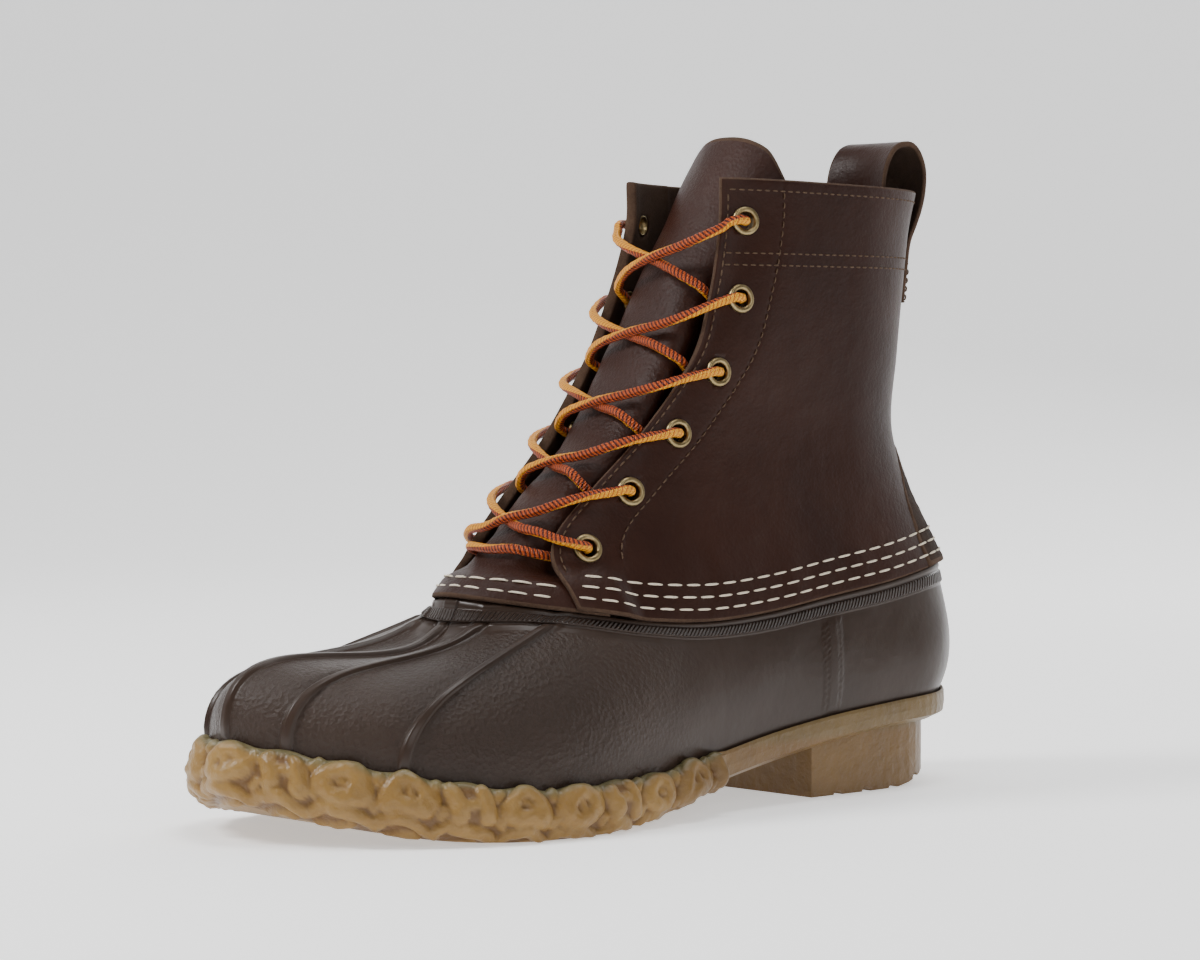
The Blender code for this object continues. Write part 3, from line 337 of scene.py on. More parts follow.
def build_rings():
    """Half rings of the shaft's outer surface, hem first, and each ring's half girth."""
    rings = [even_half(HEM_HALF)]
    for height, back, widest, front, half, behind, ahead, _ in SHAFT:
        plan = superellipse_half(back * LENGTH, widest * LENGTH, front * LENGTH,
                                 half * SHAFT_WIDTH, behind, ahead)
        z = shaft_height(height)
        dip = COLLAR_DIP * smoothstep(0.8, 1.0, height)
        drop = dip * (front * LENGTH - plan[:, 0]) / ((front - back) * LENGTH)
        rings.append(even_half(np.column_stack((plan, z - drop))))
    hem = rings[0][0]
    along = np.gradient(hem, axis=0)
    along[[0, -1], 0] = 0.0
    normal = np.cross(rings[1][0] - hem, along)
    normal /= np.linalg.norm(normal, axis=1)[:, None]
    rings[0] = (hem + normal * (LEATHER + GAP), rings[0][1])
    return np.array([ring for ring, _ in rings]), np.array([girth for _, girth in rings])


RINGS, GIRTHS = build_rings()
LEVELS = len(RINGS) - 1
THROATS = np.array([HEM_THROAT] + [row[7] for row in SHAFT]) * SHAFT_WIDTH
MARGIN_LEVELS = (0.2, 0.35)


def hem_share(turn):
    """Side and share of the half girth of a turn of the hem."""
    side = 1 if turn <= STATIONS else -1
    half_turn = turn if side > 0 else TURNS - turn
    return side, float(np.interp(half_turn, HEM_TURNS, HEM_RUN / HEM_RUN[-1]))


def ring_point(side, share, level):
    at = min(max(share, 0.0), 1.0) * (RINGS.shape[1] - 1)
    first = min(int(at), RINGS.shape[1] - 2)
    rows = RINGS[:, first] * (first + 1 - at) + RINGS[:, first + 1] * (at - first)
    point = through(rows, level)
    return np.array((point[0], side * point[1], point[2]))


def shaft_point(side, share, level):
    """A point of the shaft's outer surface and its outward normal."""
    step = 0.004
    low = ring_point(side, share - step, level)
    high = ring_point(side, share + step, level)
    if share > 1 - step:
        high = ring_point(-side, 2 - share - step, level)
    if share < step:
        low = ring_point(-side, step - share, level)
    up = ring_point(side, share, level + 0.02) - ring_point(side, share, level - 0.02)
    return ring_point(side, share, level), -unit(np.cross(high - low, up) * side)


def girth_at(level):
    return float(through(GIRTHS[:, None], level)[0])


def find_flap_edge():
    """Levels up the flap's edge, its share of the half girth there and its height."""
    edge = []
    for level in np.linspace(-0.1, LEVELS + 0.1, 145):
        half = float(through(THROATS[:, None], level)[0])
        shares = np.linspace(0.5, 1.0, 61)
        spots = np.array([ring_point(1, share, level) for share in shares])
        share = float(np.interp(-half, -spots[:, 1], shares))
        edge.append((level, share, float(np.interp(share, shares, spots[:, 2]))))
    return np.array(edge)


FLAP_EDGE = find_flap_edge()


def flap_share(level):
    """Share of the half girth where the flap's edge runs."""
    return float(np.interp(level, FLAP_EDGE[:, 0], FLAP_EDGE[:, 1]))


def level_of(height_share):
    """Level number of a height on the flap's edge."""
    return float(np.interp(shaft_height(height_share), FLAP_EDGE[:, 2], FLAP_EDGE[:, 0]))


def flap_lift(level, inward):
    """The flaps ride over the tongue's sewn foot near the hem."""
    near = 1.0 - smoothstep(0.016, 0.026, inward)
    return (TONGUE_THICKNESS + 2 * GAP) * near * (1.0 - smoothstep(0.25, 0.75, level))


def on_flap(side, level, inward, height):
    """A place on the shaft: distance in from the flap's edge, height over the outer surface."""
    share = flap_share(level) - inward / girth_at(level)
    here, normal = shaft_point(side, share, level)
    if share > 1.0:
        here, normal = shaft_point(-side, 2.0 - share, level)
    return here + normal * (height + flap_lift(level, max(inward, 0.0)))


def eyelet_frames():
    """Each eyelet's name, place and axis."""
    frames = []
    for side, word in ((1, "lateral"), (-1, "medial")):
        for number, (height, inward) in enumerate(EYELETS, 1):
            level = level_of(height)
            _, normal = shaft_point(side, flap_share(level) - inward / girth_at(level), level)
            frames.append((f"eyelet_{word}_{number}", on_flap(side, level, inward, 0.0), normal))
    return frames


def tongue_depth(level, across):
    """Depth of the tongue's outer surface under the shaft's outer surface."""
    under_flap = LEATHER + EYESTAY_EXTRA + GAP + LACE_ROOM
    seated = 0.0001
    loose = smoothstep(0.3, 0.75, level)
    edge = seated + (under_flap - seated) * loose
    middle = seated + (TONGUE_SINK - seated) * loose
    rounded = TONGUE_ROUNDING * across ** 2 * smoothstep(0.3, 3.0, level)
    return edge + (middle - edge) * (1.0 - smoothstep(0.25, 0.85, abs(across))) + rounded


def free_tongue(height, across, inside):
    """The free top of the tongue, curled about the shin and leaning back."""
    lean = 0.62 * (height - shaft_height(SHAFT[4][0]))
    axis_x = SHAFT[5][3] * LENGTH - TONGUE_RADIUS - lean
    angle = across * math.radians(62)
    radius = TONGUE_RADIUS - inside
    return np.array((axis_x + radius * math.cos(angle), radius * math.sin(angle), height))


def tongue_point(row, across, inside):
    """Rows 0 to 6 follow the shaft's levels; rows 6 to 7 run up to the rounded top."""
    top = COLLAR_HEIGHT + TONGUE_RISE - 0.013 * abs(across) ** 2.2
    shoulder = shaft_height(SHAFT[5][0])
    if row >= 6.0:
        return free_tongue(shoulder + (row - 6.0) * (top - shoulder), across, inside)
    side = 1 if across >= 0 else -1
    reach = 1.0 - flap_share(row) + TONGUE_UNDER / girth_at(row)
    here, normal = shaft_point(side, 1.0 - abs(across) * reach, row)
    seated = here - normal * (tongue_depth(row, across) + inside)
    free = free_tongue(here[2], across, inside)
    return seated + (free - seated) * smoothstep(4.0, 5.8, row)


def wall_curve(y, height):
    """How far the shaft's back curves forward beside its middle, at a height over its surface."""
    spots = []
    for share in np.linspace(0.0, 0.3, 31):
        here, normal = shaft_point(1, share, LEVELS - 0.8)
        spots.append(here + normal * height)
    spots = np.array(spots)
    return float(np.interp(abs(y), spots[:, 1], spots[:, 0])) - spots[0, 0]


def lace_half(number, out_of_eyelet):
    """From an eyelet towards the middle of the throat, out over the flap or from under it.

    Each row holds the share of the way to the next eyelet, the distance in from the flap's edge
    and the height over the shaft's surface.
    """
    level = level_of(EYELETS[number][0])
    inward = EYELETS[number][1]
    over = 0.0011 + GAP + LACE_RADIUS
    half_throat = (1.0 - flap_share(level)) * girth_at(level)
    if out_of_eyelet:
        return level, [(0.0, inward, -0.0016), (0.0, inward, -0.0004),
                       (0.0, inward - 0.0007, 0.0019), (0.0, inward - 0.0034, over + 0.0002),
                       (0.04, inward - 0.0064, over), (0.12, 0.0010, 0.0023),
                       (0.24, -0.0050, 0.0016), (0.36, -0.55 * half_throat, LACE_REST + 0.0018)]
    under = -(LEATHER + EYESTAY_EXTRA + LACE_ROOM / 2)
    return level, [(0.0, inward + 0.0010, under), (0.04, 0.5 * inward, under),
                   (0.10, 0.0008, under), (0.20, -0.0050, under + 0.0029),
                   (0.36, -0.55 * half_throat, LACE_REST + 0.0014)]


def lace_strand(start_side, start, start_out, end, lift):
    """One strand from an eyelet on one side up to the next eyelet on the other side."""
    level_a, first = lace_half(start, start_out)
    level_b, last = lace_half(end, True)
    path = [on_flap(start_side, level_a + share * (level_b - level_a), inward, height)
            for share, inward, height in first]
    middle, normal = shaft_point(1, 1.0, (level_a + level_b) / 2)
    path.append(middle + normal * lift)
    path += [on_flap(-start_side, level_b - share * (level_b - level_a), inward, height)
             for share, inward, height in reversed(last)]
    return path


def wrap_share(turn):
    """1 round the forefoot, where the sole's wall is a chain of links, 0 along heel and waist."""
    half = turn if turn <= STATIONS else TURNS - turn
    return smoothstep(WRAP_START, WRAP_START + 0.3, half)


# Materials.

class Value:
    """A node's output in a material; sums, differences and products add math nodes."""

    def __init__(self, paint, socket):
        self.paint, self.socket = paint, socket

    def __add__(self, other):
        return self.paint.math("ADD", self, other)

    def __sub__(self, other):
        return self.paint.math("SUBTRACT", self, other)

    def __rsub__(self, other):
        return self.paint.math("SUBTRACT", other, self)

    def __mul__(self, other):
        return self.paint.math("MULTIPLY", self, other)

    __radd__, __rmul__ = __add__, __mul__


class Paint:
    """A Principled material and the nodes that feed it."""

    def __init__(self, name, specular=0.5, roughness=0.5, metallic=0.0):
        self.material = bpy.data.materials.new(name)
        self.material.use_nodes = True
        self.shader = self.material.node_tree.nodes["Principled BSDF"]
        self.shader.inputs["Roughness"].default_value = roughness
        self.shader.inputs["Metallic"].default_value = metallic
        self.shader.inputs["Specular IOR Level"].default_value = specular
        self.where = self.node("ShaderNodeTexCoord", {}, "Object")

    def feed(self, socket, value):
        if isinstance(value, Value):
            self.material.node_tree.links.new(value.socket, socket)
        else:
            socket.default_value = value

    def node(self, kind, inputs, output, **settings):
        node = self.material.node_tree.nodes.new(kind)
        for key, value in settings.items():
            setattr(node, key, value)
        for key, value in inputs.items():
            self.feed(node.inputs[key], value)
        return Value(self, node.outputs[output])

    def math(self, operation, a, b=0.0, clamp=False):
        return self.node("ShaderNodeMath", {0: a, 1: b}, 0, operation=operation, use_clamp=clamp)

    def clamped(self, value):
        return self.math("ADD", value, 0.0, clamp=True)

    def noise(self, scale, detail=4.0, roughness=0.55):
        return self.node("ShaderNodeTexNoise", {"Vector": self.where, "Scale": scale,
                                                "Detail": detail, "Roughness": roughness}, "Fac")

    def cells(self, scale):
        return self.node("ShaderNodeTexVoronoi", {"Vector": self.where, "Scale": scale}, "Distance")

    def number(self, name):
        """A number that the mesh holds for each point."""
        return self.node("ShaderNodeAttribute", {}, "Fac", attribute_name=name)

    def parts(self, vector):
        """X, Y and Z of a vector."""
        split = self.node("ShaderNodeSeparateXYZ", {"Vector": vector}, 0).socket.node
        return [Value(self, socket) for socket in split.outputs]

    def ramp(self, factor, *stops):
        color = self.node("ShaderNodeValToRGB", {"Fac": factor}, "Color")
        elements = color.socket.node.color_ramp.elements
        while len(elements) < len(stops):
            elements.new(0.5)
        for element, (place, shade) in zip(elements, stops):
            element.position = place
            element.color = (*shade, 1.0)
        return color

    def blend(self, factor, a, b):
        """Colour between two."""
        mix = self.node("ShaderNodeMix", {}, 0, data_type="RGBA").socket.node
        for key, value in (("Factor", factor), ("A", a), ("B", b)):
            socket = next(s for s in mix.inputs if s.name == key and s.enabled)
            self.feed(socket, value)
        return Value(self, next(s for s in mix.outputs if s.enabled))

    def finish(self, color, rough=None, bumps=()):
        """Plug in the colour, the roughness and the bumps, each a height and its depth."""
        self.feed(self.shader.inputs["Base Color"], color)
        if rough is not None:
            self.feed(self.shader.inputs["Roughness"], rough)
        normal = None
        for height, depth in bumps:
            inputs = {"Height": height, "Distance": depth, "Strength": 1.0}
            if normal is not None:
                inputs["Normal"] = normal
            normal = self.node("ShaderNodeBump", inputs, "Normal")
        self.feed(self.shader.inputs["Normal"], normal)
        return self.material


def leather_material(name, dark, light, grain, base_rough):
    paint = Paint(name, specular=0.18)
    broad, fine = paint.noise(22.0, 3.0), paint.noise(900.0, 6.0, 0.7)
    color = paint.ramp(broad * 0.75 + fine * 0.25, (0.30, dark), (0.70, light))
    return paint.finish(color, fine * 0.16 + base_rough,
                        ((paint.noise(60.0, 3.0), 0.0006), (paint.cells(780.0), 0.00006 * grain),
                         (fine, 0.00010 * grain)))


def flesh_material(name, dark, light):
    """Suede, the leather's flesh side or a cut edge."""
    paint = Paint(name, specular=0.2, roughness=0.9)
    broad, nap = paint.noise(70.0, 6.0, 0.75), paint.noise(1500.0, 5.0, 0.8)
    color = paint.ramp(broad * 0.6 + nap * 0.4, (0.32, dark), (0.68, light))
    return paint.finish(color, None, ((nap, 0.0005), (broad, 0.0005)))


def thread_material(name, dark, light):
    paint = Paint(name, specular=0.3, roughness=0.75)
    twist = paint.noise(2200.0, 3.0)
    return paint.finish(paint.ramp(twist, (0.3, dark), (0.7, light)), None, ((twist, 0.0002),))


def rubber_material():
    """Satin rubber: pebbled on the toe, fine slanted teeth on the hem's band."""
    paint = Paint("rubber_skin", specular=0.27)
    along, down, _ = paint.parts(paint.node("ShaderNodeUVMap", {}, "UV", uv_map="UVMap"))
    x, _, _ = paint.parts(paint.where)
    broad = paint.noise(14.0, 3.0)
    color = paint.ramp(broad, (0.30, (0.0270, 0.0155, 0.0105)), (0.70, (0.0385, 0.0230, 0.0160)))
    front = paint.math("MAXIMUM", paint.math("SMOOTH_MIN", 1.0, (x + 0.010) * 16.0), 0.06)
    grainy = paint.math("MULTIPLY", front, 1.0 - paint.number("plain"), clamp=True)
    grain = (paint.cells(620.0) * 0.8 + paint.noise(1300.0, 4.0, 0.65) * 0.9) * grainy
    band = paint.math("GREATER_THAN", down, KNURL_FROM) \
        * paint.math("LESS_THAN", down, KNURL_TO)
    knurl = paint.math("SINE", along * (2 * math.pi / KNURL_TOOTH)) * band
    return paint.finish(color, broad * 0.14 + 0.26,
                        ((grain, 0.00034), (knurl, 0.00045), (paint.noise(45.0, 3.0), 0.0006)))


def gum_material():
    """Gum rubber: warm on the wrap, olive on the rand, brown on the heel, with painted shade in the
    grooves between links.
    """
    paint = Paint("gum_skin", specular=0.35)
    x, _, z = paint.parts(paint.where)
    broad = paint.noise(40.0, 4.0, 0.6)
    warm = paint.ramp(broad, (0.28, (0.222, 0.124, 0.034)), (0.72, (0.305, 0.180, 0.054)))
    olive = paint.ramp(broad, (0.3, (0.122, 0.078, 0.028)), (0.7, (0.168, 0.110, 0.042)))
    heel = paint.ramp(broad, (0.3, (0.138, 0.076, 0.025)), (0.7, (0.182, 0.106, 0.037)))
    back = 1.0 - paint.clamped((x + 0.010) * 25.0)
    high = paint.clamped((z - 0.0205) * 400.0)
    color = paint.blend(back, warm, heel)
    color = paint.blend(back * high, color, olive)
    # painted shade: the deep mask darkens the gum in the grooves between the links
    color = paint.blend(paint.number("deep") * 0.80, color, (0.110, 0.052, 0.018, 1.0))
    color = paint.blend(paint.number("edge"), color, (0.150, 0.135, 0.066, 1.0))
    paint.shader.inputs["Subsurface Weight"].default_value = 0.10
    paint.shader.inputs["Subsurface Radius"].default_value = (0.003, 0.0015, 0.0006)
    return paint.finish(color, broad * 0.2 + 0.30,
                        ((paint.noise(260.0, 3.0), 0.0007), (paint.noise(900.0, 3.0), 0.00010)))


def lace_material():
    """Braided lace: a yellow side and a red side that wind slowly, with fine slanted picks."""
    paint = Paint("lace_skin", specular=0.35)
    along, turned, _ = paint.parts(paint.node("ShaderNodeUVMap", {}, "UV", uv_map="UVMap"))
    steps, turns = along * (1 / LACE_PICK), turned * 3.0
    one, two = paint.math("FRACT", steps + turns), paint.math("FRACT", steps - turns)
    slow = paint.math("FRACT", turned + along * (1 / LACE_WIND))
    yellow = paint.ramp(one, (0.0, (0.86, 0.36, 0.012)), (0.55, (0.90, 0.43, 0.020)),
                        (0.64, (0.52, 0.13, 0.008)), (0.98, (0.72, 0.24, 0.010)))
    red = paint.ramp(two, (0.0, (0.46, 0.065, 0.010)), (0.50, (0.56, 0.10, 0.012)),
                     (0.58, (0.060, 0.008, 0.005)), (0.96, (0.09, 0.012, 0.006)))
    black, white = (0.0, 0.0, 0.0), (1.0, 1.0, 1.0)
    half = paint.ramp(slow, (0.0, black), (0.48, black), (0.54, white), (0.96, white))
    braid = paint.math("SINE", one * (2 * math.pi)) * paint.math("SINE", two * (2 * math.pi))
    return paint.finish(paint.blend(half, yellow, red), None, ((braid, 0.00035),))


def brass_material():
    paint = Paint("brass_skin", metallic=1.0)
    worn = paint.noise(500.0, 4.0)
    color = paint.ramp(worn, (0.3, (0.20, 0.145, 0.065)), (0.7, (0.40, 0.31, 0.16)))
    return paint.finish(color, worn * 0.25 + 0.24, ((worn, 0.00006),))


def lining_material():
    paint = Paint("lining_skin", specular=0.15, roughness=0.95)
    weave = paint.node("ShaderNodeTexWave", {"Vector": paint.where, "Scale": 420.0,
                                             "Distortion": 1.0}, "Fac")
    mixed = weave * 0.4 + paint.noise(700.0, 4.0) * 0.6
    color = paint.ramp(mixed, (0.25, (0.085, 0.060, 0.045)), (0.75, (0.17, 0.125, 0.095)))
    return paint.finish(color, None, ((mixed, 0.0005),))


LEATHER_SKIN = leather_material("leather_skin", (0.0205, 0.0066, 0.0038), (0.0350, 0.0120, 0.0068),
                                1.0, 0.33)
TONGUE_SKIN = leather_material("tongue_skin", (0.0215, 0.0064, 0.0036), (0.0375, 0.0122, 0.0068),
                               2.0, 0.34)
SUEDE_SKIN = flesh_material("suede_skin", (0.0150, 0.0072, 0.0042), (0.0480, 0.0250, 0.0150))
FLESH_SKIN = flesh_material("flesh_skin", (0.0330, 0.0170, 0.0100), (0.0700, 0.0390, 0.0240))
EDGE_SKIN = flesh_material("edge_skin", (0.0450, 0.0240, 0.0150), (0.1150, 0.0680, 0.0440))
CREAM_THREAD = thread_material("cream_thread", (0.62, 0.52, 0.38), (0.88, 0.79, 0.65))
BROWN_THREAD = thread_material("brown_thread", (0.070, 0.040, 0.023), (0.120, 0.073, 0.043))
RUBBER_SKIN = rubber_material()
GUM_SKIN = gum_material()
LACE_SKIN = lace_material()
BRASS_SKIN = brass_material()
LINING_SKIN = lining_material()


# Meshes.

def emit(name, points, faces, materials, index=None, uvs=None, values=None):
    """One piece of the scene, riding on the boot. `values` holds named numbers per point."""
    mesh = bpy.data.meshes.new(name)
    mesh.from_pydata([tuple(map(float, p + SHIFT)) for p in points], [], faces)
    for material in materials:
        mesh.materials.append(material)
    if index is not None:
        mesh.polygons.foreach_set("material_index", index)
    if uvs is not None:
        layer = mesh.uv_layers.new(name="UVMap")
        layer.data.foreach_set("uv", np.array(uvs, dtype=np.float32).ravel())
    for key, numbers in (values or {}).items():
        attribute = mesh.attributes.new(key, "FLOAT", "POINT")
        attribute.data.foreach_set("value", np.array(numbers, dtype=np.float32))
    mesh.shade_smooth()
    mesh.validate()
    form = bmesh.new()
    form.from_mesh(mesh)
    bmesh.ops.recalc_face_normals(form, faces=form.faces[:])
    form.to_mesh(mesh)
    form.free()
    thing = bpy.data.objects.new(name, mesh)
    bpy.context.scene.collection.objects.link(thing)
    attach(thing, BODY)
    return thing


def loft(name, columns, materials, closed=True, rows=None, edges=(), along=None, down=None,
         values=None):
    """Columns of points joined side by side; each column is a closed ring of points.

    `rows` names each row's material and `edges` the columns that take the last one. `along` and
    `down` are the UV places of the columns and of the rows in each column.
    """
    count, height = len(columns), len(columns[0])
    faces, index, uvs = [], [], []
    along = range(count + 1) if along is None else along
    down = [[0.0] * (height + 1)] * (count + 1) if down is None else down
    for c in range(count if closed else count - 1):
        a, b = c * height, (c + 1) % count * height
        for r in range(height):
            s = (r + 1) % height
            faces.append((a + r, b + r, b + s, a + s))
            index.append(len(materials) - 1 if c in edges else rows[r] if rows else 0)
            uvs += [(along[c], down[c][r]), (along[c + 1], down[c + 1][r]),
                    (along[c + 1], down[c + 1][r + 1]), (along[c], down[c][r + 1])]
    for first in () if closed else (0, (count - 1) * height):
        for r in range(height // 2 - 1):
            a, b = first + r, first + height - 1 - r
            faces.append((a, a + 1, b - 1, b))
            index.append(len(materials) - 1)
            uvs += [(0.0, 0.0)] * 4
    points = [p for column in columns for p in column]
    return emit(name, points, faces, materials, index, uvs, values)


def leather_piece(name, sample, us, vs, fat_u, fat_v, materials):
    """A leather sheet: sample(u, v) gives outer point, normal and thickness.

    The fat shares thin the sheet at its edges, so that they are rounded. Materials are the outer
    face, the inner face and the cut edge.
    """
    columns = []
    for u, fat_here in zip(us, fat_u):
        outs, ins = [], []
        for v, fat in zip(vs, fat_v):
            here, normal, thickness = sample(u, v)
            thin = 0.5 * thickness * (1.0 - min(fat_here, fat))
            outs.append(here - normal * thin)
            ins.append(here - normal * (thickness - thin))
        columns.append(outs + ins[::-1])
    thin_u = [c for c, pair in enumerate(zip(fat_u, fat_u[1:])) if min(pair) < EDGE_SHARE]
    thin_v = [min(pair) < EDGE_SHARE for pair in zip(fat_v, fat_v[1:])]
    rows = [2 if thin else 0 for thin in thin_v] + [2]
    rows += [2 if thin else 1 for thin in thin_v[::-1]] + [2]
    return loft(name, columns, materials, closed=False, rows=rows, edges=thin_u)


def edged(start, middle, end):
    """Places and fat shares along a sheet, from lists of places and shares at its two edges."""
    places = [p for p, _ in start] + list(middle) + [p for p, _ in end]
    return places, [f for _, f in start] + [1.0] * len(middle) + [f for _, f in end]


def stitches(name, lines, length, gap, radius, material, slot):
    """Thread along lines of surface points and normals: short rounded stitches."""
    points, faces = [], []
    rings, sides = 6, 6
    for line in lines:
        places = np.array([p for p, _ in line])
        normals = np.array([n for _, n in line])
        run = lengths_along(places)
        at = gap / 2
        while at + length < run[-1]:
            first = len(points)
            for step in range(rings):
                share = step / (rings - 1)
                s = at + share * length
                normal = unit(read_at(s, run, normals))
                ahead = unit(read_at(s + 0.0004, run, places) - read_at(s - 0.0004, run, places))
                side = np.cross(ahead, normal)
                bow = math.sin(math.pi * share) ** 0.5
                middle = read_at(s, run, places) + normal * radius * (1.15 * bow - 0.75)
                thick = radius * (0.55 + 0.45 * bow)
                for k in range(sides):
                    angle = 2 * math.pi * k / sides
                    out = side * math.cos(angle) + normal * math.sin(angle)
                    points.append(middle + out * thick)
            for ring in range(rings - 1):
                low = first + ring * sides
                for k in range(sides):
                    beside = (k + 1) % sides
                    faces.append((low + k, low + beside, low + sides + beside, low + sides + k))
            faces.append(tuple(first + k for k in reversed(range(sides))))
            faces.append(tuple(first + (rings - 1) * sides + k for k in range(sides)))
            at += length + gap
    return emit(name, points, faces, [material])


# The rubber bottom.

def rib_height(distance):
    """Rounded ridge across a rib."""
    return 1.35 * RIB_HEIGHT * (1.0 - smoothstep(0.30 * RIB_WIDTH, 0.62 * RIB_WIDTH, abs(distance)))


def strip_height(here, share):
    """Low upright strip with notched edges on each side of the rubber."""
    away = abs(here[0] - STRIP_PLACE)
    inside = 1.0 - smoothstep(*STRIP_HALF, away)
    notched = smoothstep(0.0020, 0.0026, away) * inside
    notch = 0.00045 * notched * (0.5 + 0.5 * math.sin(here[2] / STRIP_NOTCH * 2 * math.pi))
    return (0.00050 * inside - notch) * smoothstep(0.03, 0.08, share) \
        * (1 - smoothstep(0.90, 0.96, share))


def rubber_columns():
    """Columns of the rubber: sole turn, hem turn, sideways shift and rib height."""
    ribs = sorted((foot, hem) if side > 0 else (TURNS - foot, TURNS - hem)
                  for foot, hem, side in RIBS)
    fences = [(0.0, 0.0)] + ribs + [(float(TURNS), float(TURNS))]
    columns = [(0.0, 0.0, 0.0, 0.0)]
    for number, ((foot_a, hem_a), (foot_b, hem_b)) in enumerate(zip(fences, fences[1:])):
        if number:
            columns += [(foot_a, hem_a, shift, rib_height(shift))
                        for shift in np.linspace(-1, 1, 13) * RIB_REACH]
        span = foot_b - foot_a
        clear = 0.0
        turns = set(foot_a + span * np.linspace(0.2, 0.8, 8))
        if number in (0, len(fences) - 2):      # the long sides, dense about the seam strip
            clear = 0.24
            strip = TURNS - STRIP_TURN if number else STRIP_TURN
            turns = set(np.round(np.arange(foot_a + 0.12, foot_b, 0.12), 3))
            turns |= set(np.round(np.arange(strip - 0.75, strip + 0.76, 0.025), 3))
        for turn in sorted(turns):
            by_rib = turn - foot_a < clear if number else foot_b - turn < clear
            if foot_a < turn < foot_b and not by_rib:
                columns.append((turn, hem_a + (turn - foot_a) / span * (hem_b - hem_a), 0.0, 0.0))
    return columns


def rubber_skin():
    """The rubber with its ribs, seam strips and hem band.

    `down` is each row's distance under the hem, and `plain` masks the pebble grain.
    """
    shares = np.concatenate((np.linspace(0.0, 0.97, 34), (1.0,)))
    loops, downs, plain, hem_places = [], [], [], []
    for foot_turn, hem_turn, shift, height in rubber_columns():
        ahead = plan_outward(foot_at, foot_turn)
        hem_ahead = plan_outward(hem_at, hem_turn)
        tangent = np.array((ahead[1], -ahead[0], 0.0))
        hem_tangent = np.array((hem_ahead[1], -hem_ahead[0], 0.0))
        hem_places.append(hem_at(hem_turn)[:3] + hem_tangent * shift)
        base = foot_point(foot_turn, 0.0, foot_at(foot_turn)[3] + GAP) + tangent * shift
        outs, ins, down, flat = [base], [base - ahead * RUBBER_WALL], [0.1], [1.0]
        whole = lengths_along(rubber_side(foot_turn, hem_turn))[-1]
        smooth_rib = 1.0 if height > 0.2 * RIB_HEIGHT else 0.0
        for share in shares:
            here, normal = rubber_point(foot_turn, hem_turn, share=share)
            across = unit(np.cross(normal, (0, 0, 1.0)) if abs(normal[2]) < 0.7 else tangent)
            across = across if across @ tangent > 0 else -across
            fade = (1.0 - smoothstep(0.95, 1.0, share)) * smoothstep(0.0, 0.04, share)
            lift = height * fade + strip_height(here, share)
            outs.append(here + across * shift + normal * lift)
            down.append((1 - share) * (whole - HEM_STRIP - KNURL_BAND) + HEM_STRIP + KNURL_BAND)
            flat.append(max(smooth_rib, smoothstep(0.90, 0.94, share)))
        low_front = 1.0 - 0.55 * (1.0 - smoothstep(0.6, 2.2, abs(hem_turn - STATIONS)))
        for distance, lift in HEM_BAND:
            here, normal = rubber_point(foot_turn, hem_turn, from_hem=distance)
            outs.append(here + hem_tangent * shift + normal * lift * low_front * KNURL_HEIGHT)
            down.append(distance)
            flat.append(1.0)
        side, share = hem_share(hem_turn)
        for level in MARGIN_LEVELS:
            margin, normal = shaft_point(side, share, level)
            margin = margin + hem_tangent * shift - normal * (LEATHER + GAP)
            outs.append(margin)
            ins.append(margin - normal * RUBBER_WALL * 0.7)
            down.append(-0.005)
            flat.append(1.0)
        inner = []
        for share in (0.05, 0.2, 0.35, 0.5, 0.65, 0.8, 1.0):
            here, normal = rubber_point(foot_turn, hem_turn, share=share)
            inner.append(here + tangent * shift - normal * RUBBER_WALL)
        lining = ins[:1] + inner + ins[1:]
        loops.append(outs + lining[::-1])
        downs.append(down + [-0.01] * (len(lining) + 1))
        plain += flat + [1.0] * len(lining)
    hem_runs = lengths_along(np.array(hem_places + [hem_at(0.0)[:3]]))
    skin = loft("rubber_skin", loops, [RUBBER_SKIN], along=hem_runs,
                down=downs + downs[:1], values={"plain": plain})
    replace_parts(skin, "rubber_bottom")


# The gum sole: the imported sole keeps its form, and a relief of chain links lies over its wall.

SOLE_TURNS = np.arange(6 * TURNS) / 6
SOLE_RUN = lengths_along(np.array([foot_at(turn)[:2] for turn in SOLE_TURNS]))


def bar(x, y, x1, y1, x2, y2, radius):
    """Height of a round bar between two points, as a share of the tallest bar."""
    along = ((x - x1) * (x2 - x1) + (y - y1) * (y2 - y1)) / ((x2 - x1) ** 2 + (y2 - y1) ** 2)
    along = min(max(along, 0.0), 1.0)
    return dome(math.hypot(x - x1 - along * (x2 - x1), y - y1 - along * (y2 - y1)), radius)


def dome(distance, radius):
    """The same at a distance from a bar's middle line."""
    return radius / LINK_HEIGHT * max(1.0 - (distance / radius) ** 2, 0.0) ** 0.5


# Bars of the relief in each cell: two ends and radius, along from the cell's middle and down.
HALF = LINK_PITCH / 2
COMMON_BARS = ((HALF - 0.0004, 0.0012, HALF + 0.0006, 0.0030, 0.0022),
               (HALF - 0.0006, 0.0098, HALF + 0.0002, 0.0112, 0.0022),
               (-0.0066, 0.0172, 0.0046, 0.0146, 0.0029),
               (HALF - 0.0022, 0.0142, HALF + 0.0018, 0.0176, 0.0026),
               (-0.0014, 0.0214, 0.0082, 0.0234, 0.0028))
# Bars of the three kinds of cell; the first two kinds have a ring too.
KIND_BARS = (((0.0010, 0.0046, -0.0012, 0.0092, 0.0019),),
             ((-0.0036, 0.0080, 0.0006, 0.0062, 0.0018),),
             ((-0.0050, 0.0036, -0.0044, 0.0106, 0.0033), (0.0050, 0.0036, 0.0044, 0.0106, 0.0033),
              (-0.0030, 0.0068, 0.0030, 0.0074, 0.0022)))


